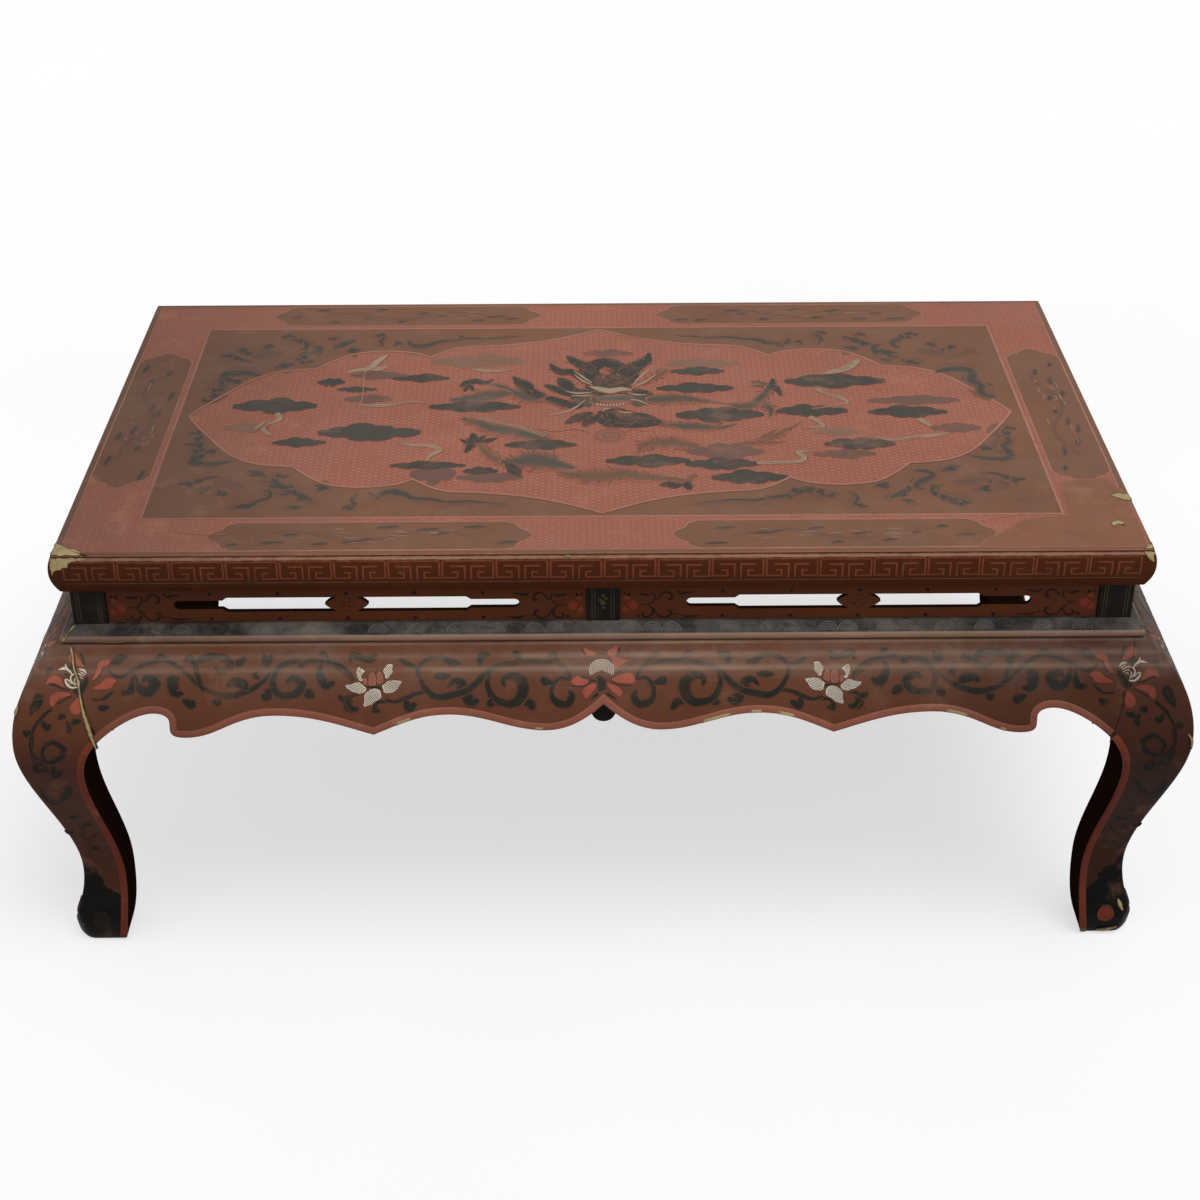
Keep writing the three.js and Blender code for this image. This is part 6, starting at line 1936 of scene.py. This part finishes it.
# %% [markdown]
# The black posts carry thin gold lines, almost worn away, and the centre post a small faded blossom.

# %% Lines on the posts
gold_line = painted("gold_line", "4a3f28", "post", 0.5, 1.1, 0.85)


def on_post(x, z, out):
    return x, POST_SETBACK - out, z


for side, (length, _, _) in SIDES.items():
    spans = [(length / 2 - POST_INSET, length / 2 - POST_SETBACK)]
    spans += [(-CENTRE_HALF, 0)] if length > DEPTH else []
    bm, core = sheet()
    for inner, outer in spans:
        for way in (1, -1):
            for x in [inner + 4.5, inner + 7] + ([outer - 4.5, outer - 7] if inner > 0 else []):
                heights = (WAIST_BOTTOM + 0.5, SLOT_MIDDLE, WAIST_TOP - 0.5)
                strip(bm, core, [(x * way, z, 0.7) for z in heights], rim=0.3)
    if length > DEPTH:
        for x, z, radius in ((0, 1, 2.4), (-2.6, 4, 1.6), (2.4, 5, 1.6), (0, 8, 1.8), (0.6, -4, 1.4)):
            disc(bm, core, x, SLOT_MIDDLE + z, radius, 0.5)
    laid(bm, on_post, 0.1, "paint_posts_" + side, gold_line, side_place(side), "black_lacquer")
print("posts lined")

# %% [markdown]
# The sloping band once carried rows of waves, each a nest of half rings. Dust and wear have left only some
# of them, with black patches between.

# %% Waves on the moulding
WAVE_PITCH, WAVE_MARGIN, WAVE_FOOT = 17, 15, 10
on_moulding = wrapped(moulding_line[::-1])
wave_black = painted("wave_black", "161513", "band", 0.35, 0.5, 0.3)
crest_grey = painted("crest_grey", "57534c", "band", 0.4, 0.6, 0.4)
patch_black = painted("patch_black", "1f1d1b", "band", 1.4, 0.9, 0.5)
for side, (length, _, _) in SIDES.items():
    wear = random.Random(31)
    waves, patches, crests = sheet(), sheet(), sheet()
    count = round((length - 2 * WAVE_MARGIN) / WAVE_PITCH)
    for k in range(count):
        x = (k + 0.5 - count / 2) * WAVE_PITCH
        kept = wear.random()
        for radius in (8.4, 6.2, 4, 1.8):
            if kept > 0.2:
                turn = [math.pi * j / 10 for j in range(11)]
                ring = [(x + radius * math.cos(a), WAVE_FOOT - radius * math.sin(a), 1.05) for a in turn]
                strip(*(crests if kept > 0.55 else waves), ring, rim=0.2)
        if kept < 0.4 or kept > 0.7:
            long = wear.uniform(10, 34)
            brush(*patches, [(x - long, 5, 1), (x - long / 3, 5.5, 7), (x + long / 2, 5, 6),
                             (x + long, 6, 1)], 4)
    paints = ((waves, "waves", wave_black, 0.16), (patches, "patches", patch_black, 0.1),
              (crests, "crests", crest_grey, 0.16))
    for (bm, core), name, look, height in paints:
        laid(bm, on_moulding, height, "paint_" + name + "_" + side, look, side_place(side), "grey_lacquer")
print("waves on the long side:", round((LENGTH - 2 * WAVE_MARGIN) / WAVE_PITCH))

# %% [markdown]
# ## Wear
# The lacquer has broken off at corners and on the lips, where the pale ground and wood show. The mitre at
# the front left has opened and was filled, which left a yellow seam; the one at the right is a fine dark
# crack.

# %% Chips, seams and scuffs
chip_pale = painted("chip_pale", "ab9a6e", "chip", 0.9, 1.8, 0.6, 0.8)
crack_dark = painted("crack_dark", "24150e", "apron", 0.3, 0.5, 0.3)
FACE_CHIPS = [[(-505, 55, 1), (-507, 60, 3), (-508, 64, 1)],
              [(508, 88, 0.8), (512, 94, 2.6), (513, 104, 0.8)],
              [(477, 296, 1), (479, 302, 4.5), (482, 308, 1.5)],
              [(459, 331, 1), (466, 331, 3.5), (473, 329, 3), (479, 326, 1)]]
LIP_CHIPS = [(84, 112), (127, 138), (150, 166), (296, 316), (-180, -166), (-62, -52), (342, 350)]
SEAM = [(-462, 2, 1.6), (-459, 12, 2.4), (-457, 23, 1.8), (-453, 34, 3), (-452, 42, 2), (-450, 56, 2.6),
        (-447, 70, 4.5),
        (-444, 84, 4), (-441, 96, 2)]
CRACK = [(463, 2, 0.7), (458, 22, 0.8), (453, 42, 0.7), (450, 58, 0.9), (446, 77, 0.7), (441, 96, 1.0)]
bm, core = sheet()
brush(bm, core, SEAM, 4)
for chip in FACE_CHIPS:
    brush(bm, core, chip, 4)
laid(bm, on_face, 1.35, "wear_seam_front", chip_pale, side_place("front"), "brown_lacquer", -0.2)
bm, core = sheet()
brush(bm, core, [(-458, 0.8, 1), (-463, 6, 2.2), (-466, 12, 3), (-470, 18, 2)], 4)
brush(bm, core, [(-440, 17, 0.6), (-428, 17.6, 1.3), (-415, 17, 0.6)], 4)
laid(bm, on_moulding, 0.2, "wear_moulding_front", chip_pale, side_place("front"), "grey_lacquer")
bm, core = sheet()
brush(bm, core, CRACK, 4)
brush(bm, core, [(a + 1.6, b, w * 0.3) for a, b, w in SEAM], 4)
brush(bm, core, [(-446, 71, 1), (-443, 79, 5), (-441, 85, 1)], 4)
laid(bm, on_face, 0.36, "wear_crack_front", crack_dark, side_place("front"), "brown_lacquer")
CHIP_PROUD = 0.25


def lip_chip(bm, core, line, start, end, width, strength, axis, inward=1.0):
    """A chip along a lip from start to end of an axis, whose core rises from both ends to its middle."""
    count = len(bm.verts)
    bead_on_face(bm, line, width, LIP_PROUD + CHIP_PROUD, inward)
    bm.verts.ensure_lookup_table()
    for vert in bm.verts[count:]:
        share = min(max((vert.co[axis] - start) / (end - start), 0), 1)
        vert[core] = strength * math.sin(math.pi * share)


chip_lip = painted("chip_lip", "a5956a", "lip", 0.5, 1.6, 0.4, 0.6)
edge = smooth_line(mirrored(lobed_edge(LENGTH)), 2)
bm, core = sheet()
for start, end in LIP_CHIPS:
    lip_chip(bm, core, [p for p in edge if start <= p[0] <= end], start, end, LIP_WIDTH * 0.62, 0.9, 0)
made(bm, "wear_lip_front", chip_lip, side_place("front"))
lip_at = along(leg_lip)
LEG_CHIPS = {"front_left": [(80, 93), (6, 28)], "front_right": [(2, 8)], "back_left": [(40, 52)]}
for corner, chips in LEG_CHIPS.items():
    bm, core = sheet()
    for start, end in chips:
        lip_chip(bm, core, [(lip_at(z), z) for z in range(start, end + 1, 2)], start, end, LIP_WIDTH * 0.85,
                 1, 2, -1.0)
    made(bm, "wear_lip_" + corner, chip_lip, corner_place(corner))


def jagged(outline, chance, pitch=2.5):
    """An outline broken into short uneven pieces."""
    points = []
    for (ax, ay), (bx, by) in zip(outline, outline[1:] + outline[:1]):
        count = max(round(math.dist((ax, ay), (bx, by)) / pitch), 1)
        for k in range(count):
            off = 0 if k == 0 else chance.uniform(-0.7, 0.7)
            points.append((blend(ax, bx, k / count) + off, blend(ay, by, k / count) + off))
    return points


shatter = random.Random(2)
TOP_CHIPS = [[(-469, -271.5), (-437, -271.5), (-443, -268), (-448, -262), (-456, -259), (-462, -252),
              (-469, -249)],
             [(469, -171), (469, -184), (461, -182), (455, -177), (449, -174), (459, -169)],
             [(469, -259), (469, -271.5), (460, -271.5), (463, -265)],
             [(443, -231), (441, -226), (444, -221), (450, -219), (454, -224), (452, -231), (448, -227)]]
bm, core = sheet()
for chip in TOP_CHIPS:
    fill(bm, core, jagged(chip, shatter), 1.6)
laid(bm, on_top, 0.46, "wear_chips_top", chip_pale)
bm, core = sheet()
for chip in ([(-469.5, 0.6), (-437, 0.6), (-440, 3), (-452, 5), (-456, 10), (-464, 12), (-469.5, 17)],
             [(469.5, 0.6), (460, 0.6), (463, 6), (466, 9), (469.5, 11)],
             [(-34, 0.6), (-26, 0.6), (-28, 3), (-32, 2.6)]):
    fill(bm, core, jagged(chip, shatter, 2), 1.2)
cut_rows(bm, 2)
laid(bm, on_rail, 0.35, "wear_chips_rail", chip_pale, side_place("front"), "edge_lacquer")
WORN = [(409, -146), (430, -141), (456, -140), (467, -168), (468, -240), (466, -266), (432, -268),
        (391, -267), (350, -268),
        (318, -266), (328, -252), (340, -243), (350, -230), (368, -216), (392, -211), (407, -209),
        (408, -176)]
bm, core = sheet()
fill(bm, core, WORN, 6)
laid(bm, on_top, 0.22, "wear_patch_top", painted("patch_worn", "86563d", "red", 0.5, 0.9, 0.3))
bm, core = sheet()
for line in ([(-236, 118), (-233, 100), (-234, 88), (-231, 40), (-234, 5)],
             [(330, -218), (352, -212), (371, -205)],
             [(-370, -230), (-340, -236), (-322, -234)], [(205, 262), (228, 261), (233, 265)]):
    strip(bm, core, smooth_line([(x, y, 0.7) for x, y in line], 4), rim=0.1)
laid(bm, on_top, 0.5, "wear_hairs_top", painted("hair_pale", "b08a76", "red", 0.5, 0.9, 0.6))
print("chips:", len(FACE_CHIPS) + len(TOP_CHIPS))

# %% [markdown]
# ## Finishes for the pieces that stay as the CAD made them
# The pierced panels, posts, battens and braces already have their true shape, so they only get a finish.

# %% Finishes for CAD pieces
SLOT_WALL_AREA = 4


def dress(node, look):
    mesh = nodes[node].data
    mesh.materials.clear()
    mesh.materials.append(look)


for node in nodes:
    if node.startswith("waist_panel"):
        dress(node, waist_red)
        # The walls of the slots take the inner ground: partly their dark paint, partly painted shade.
        nodes[node].data.materials.append(inner_painted_shade)
        across = 1 if "front" in node or "back" in node else 0
        for polygon in nodes[node].data.polygons:
            wall = abs(polygon.normal[across]) < 0.5 and polygon.area > SLOT_WALL_AREA * MM * MM
            polygon.material_index = int(wall)
    elif node.startswith("centre_post"):
        dress(node, black)
    elif node.startswith("waist_batten"):
        dress(node, wood_long if "front" in node or "back" in node else wood_cross)
    elif node == "top_floating_panel":
        dress(node, wood_long)
    elif node.startswith("top_brace"):
        dress(node, wood_cross)

# %% [markdown]
# ## The size
# The coats of paint reach at most a fifth of a millimetre beyond the box of the CAD model.

# %% Update the scene
bpy.context.view_layer.update()
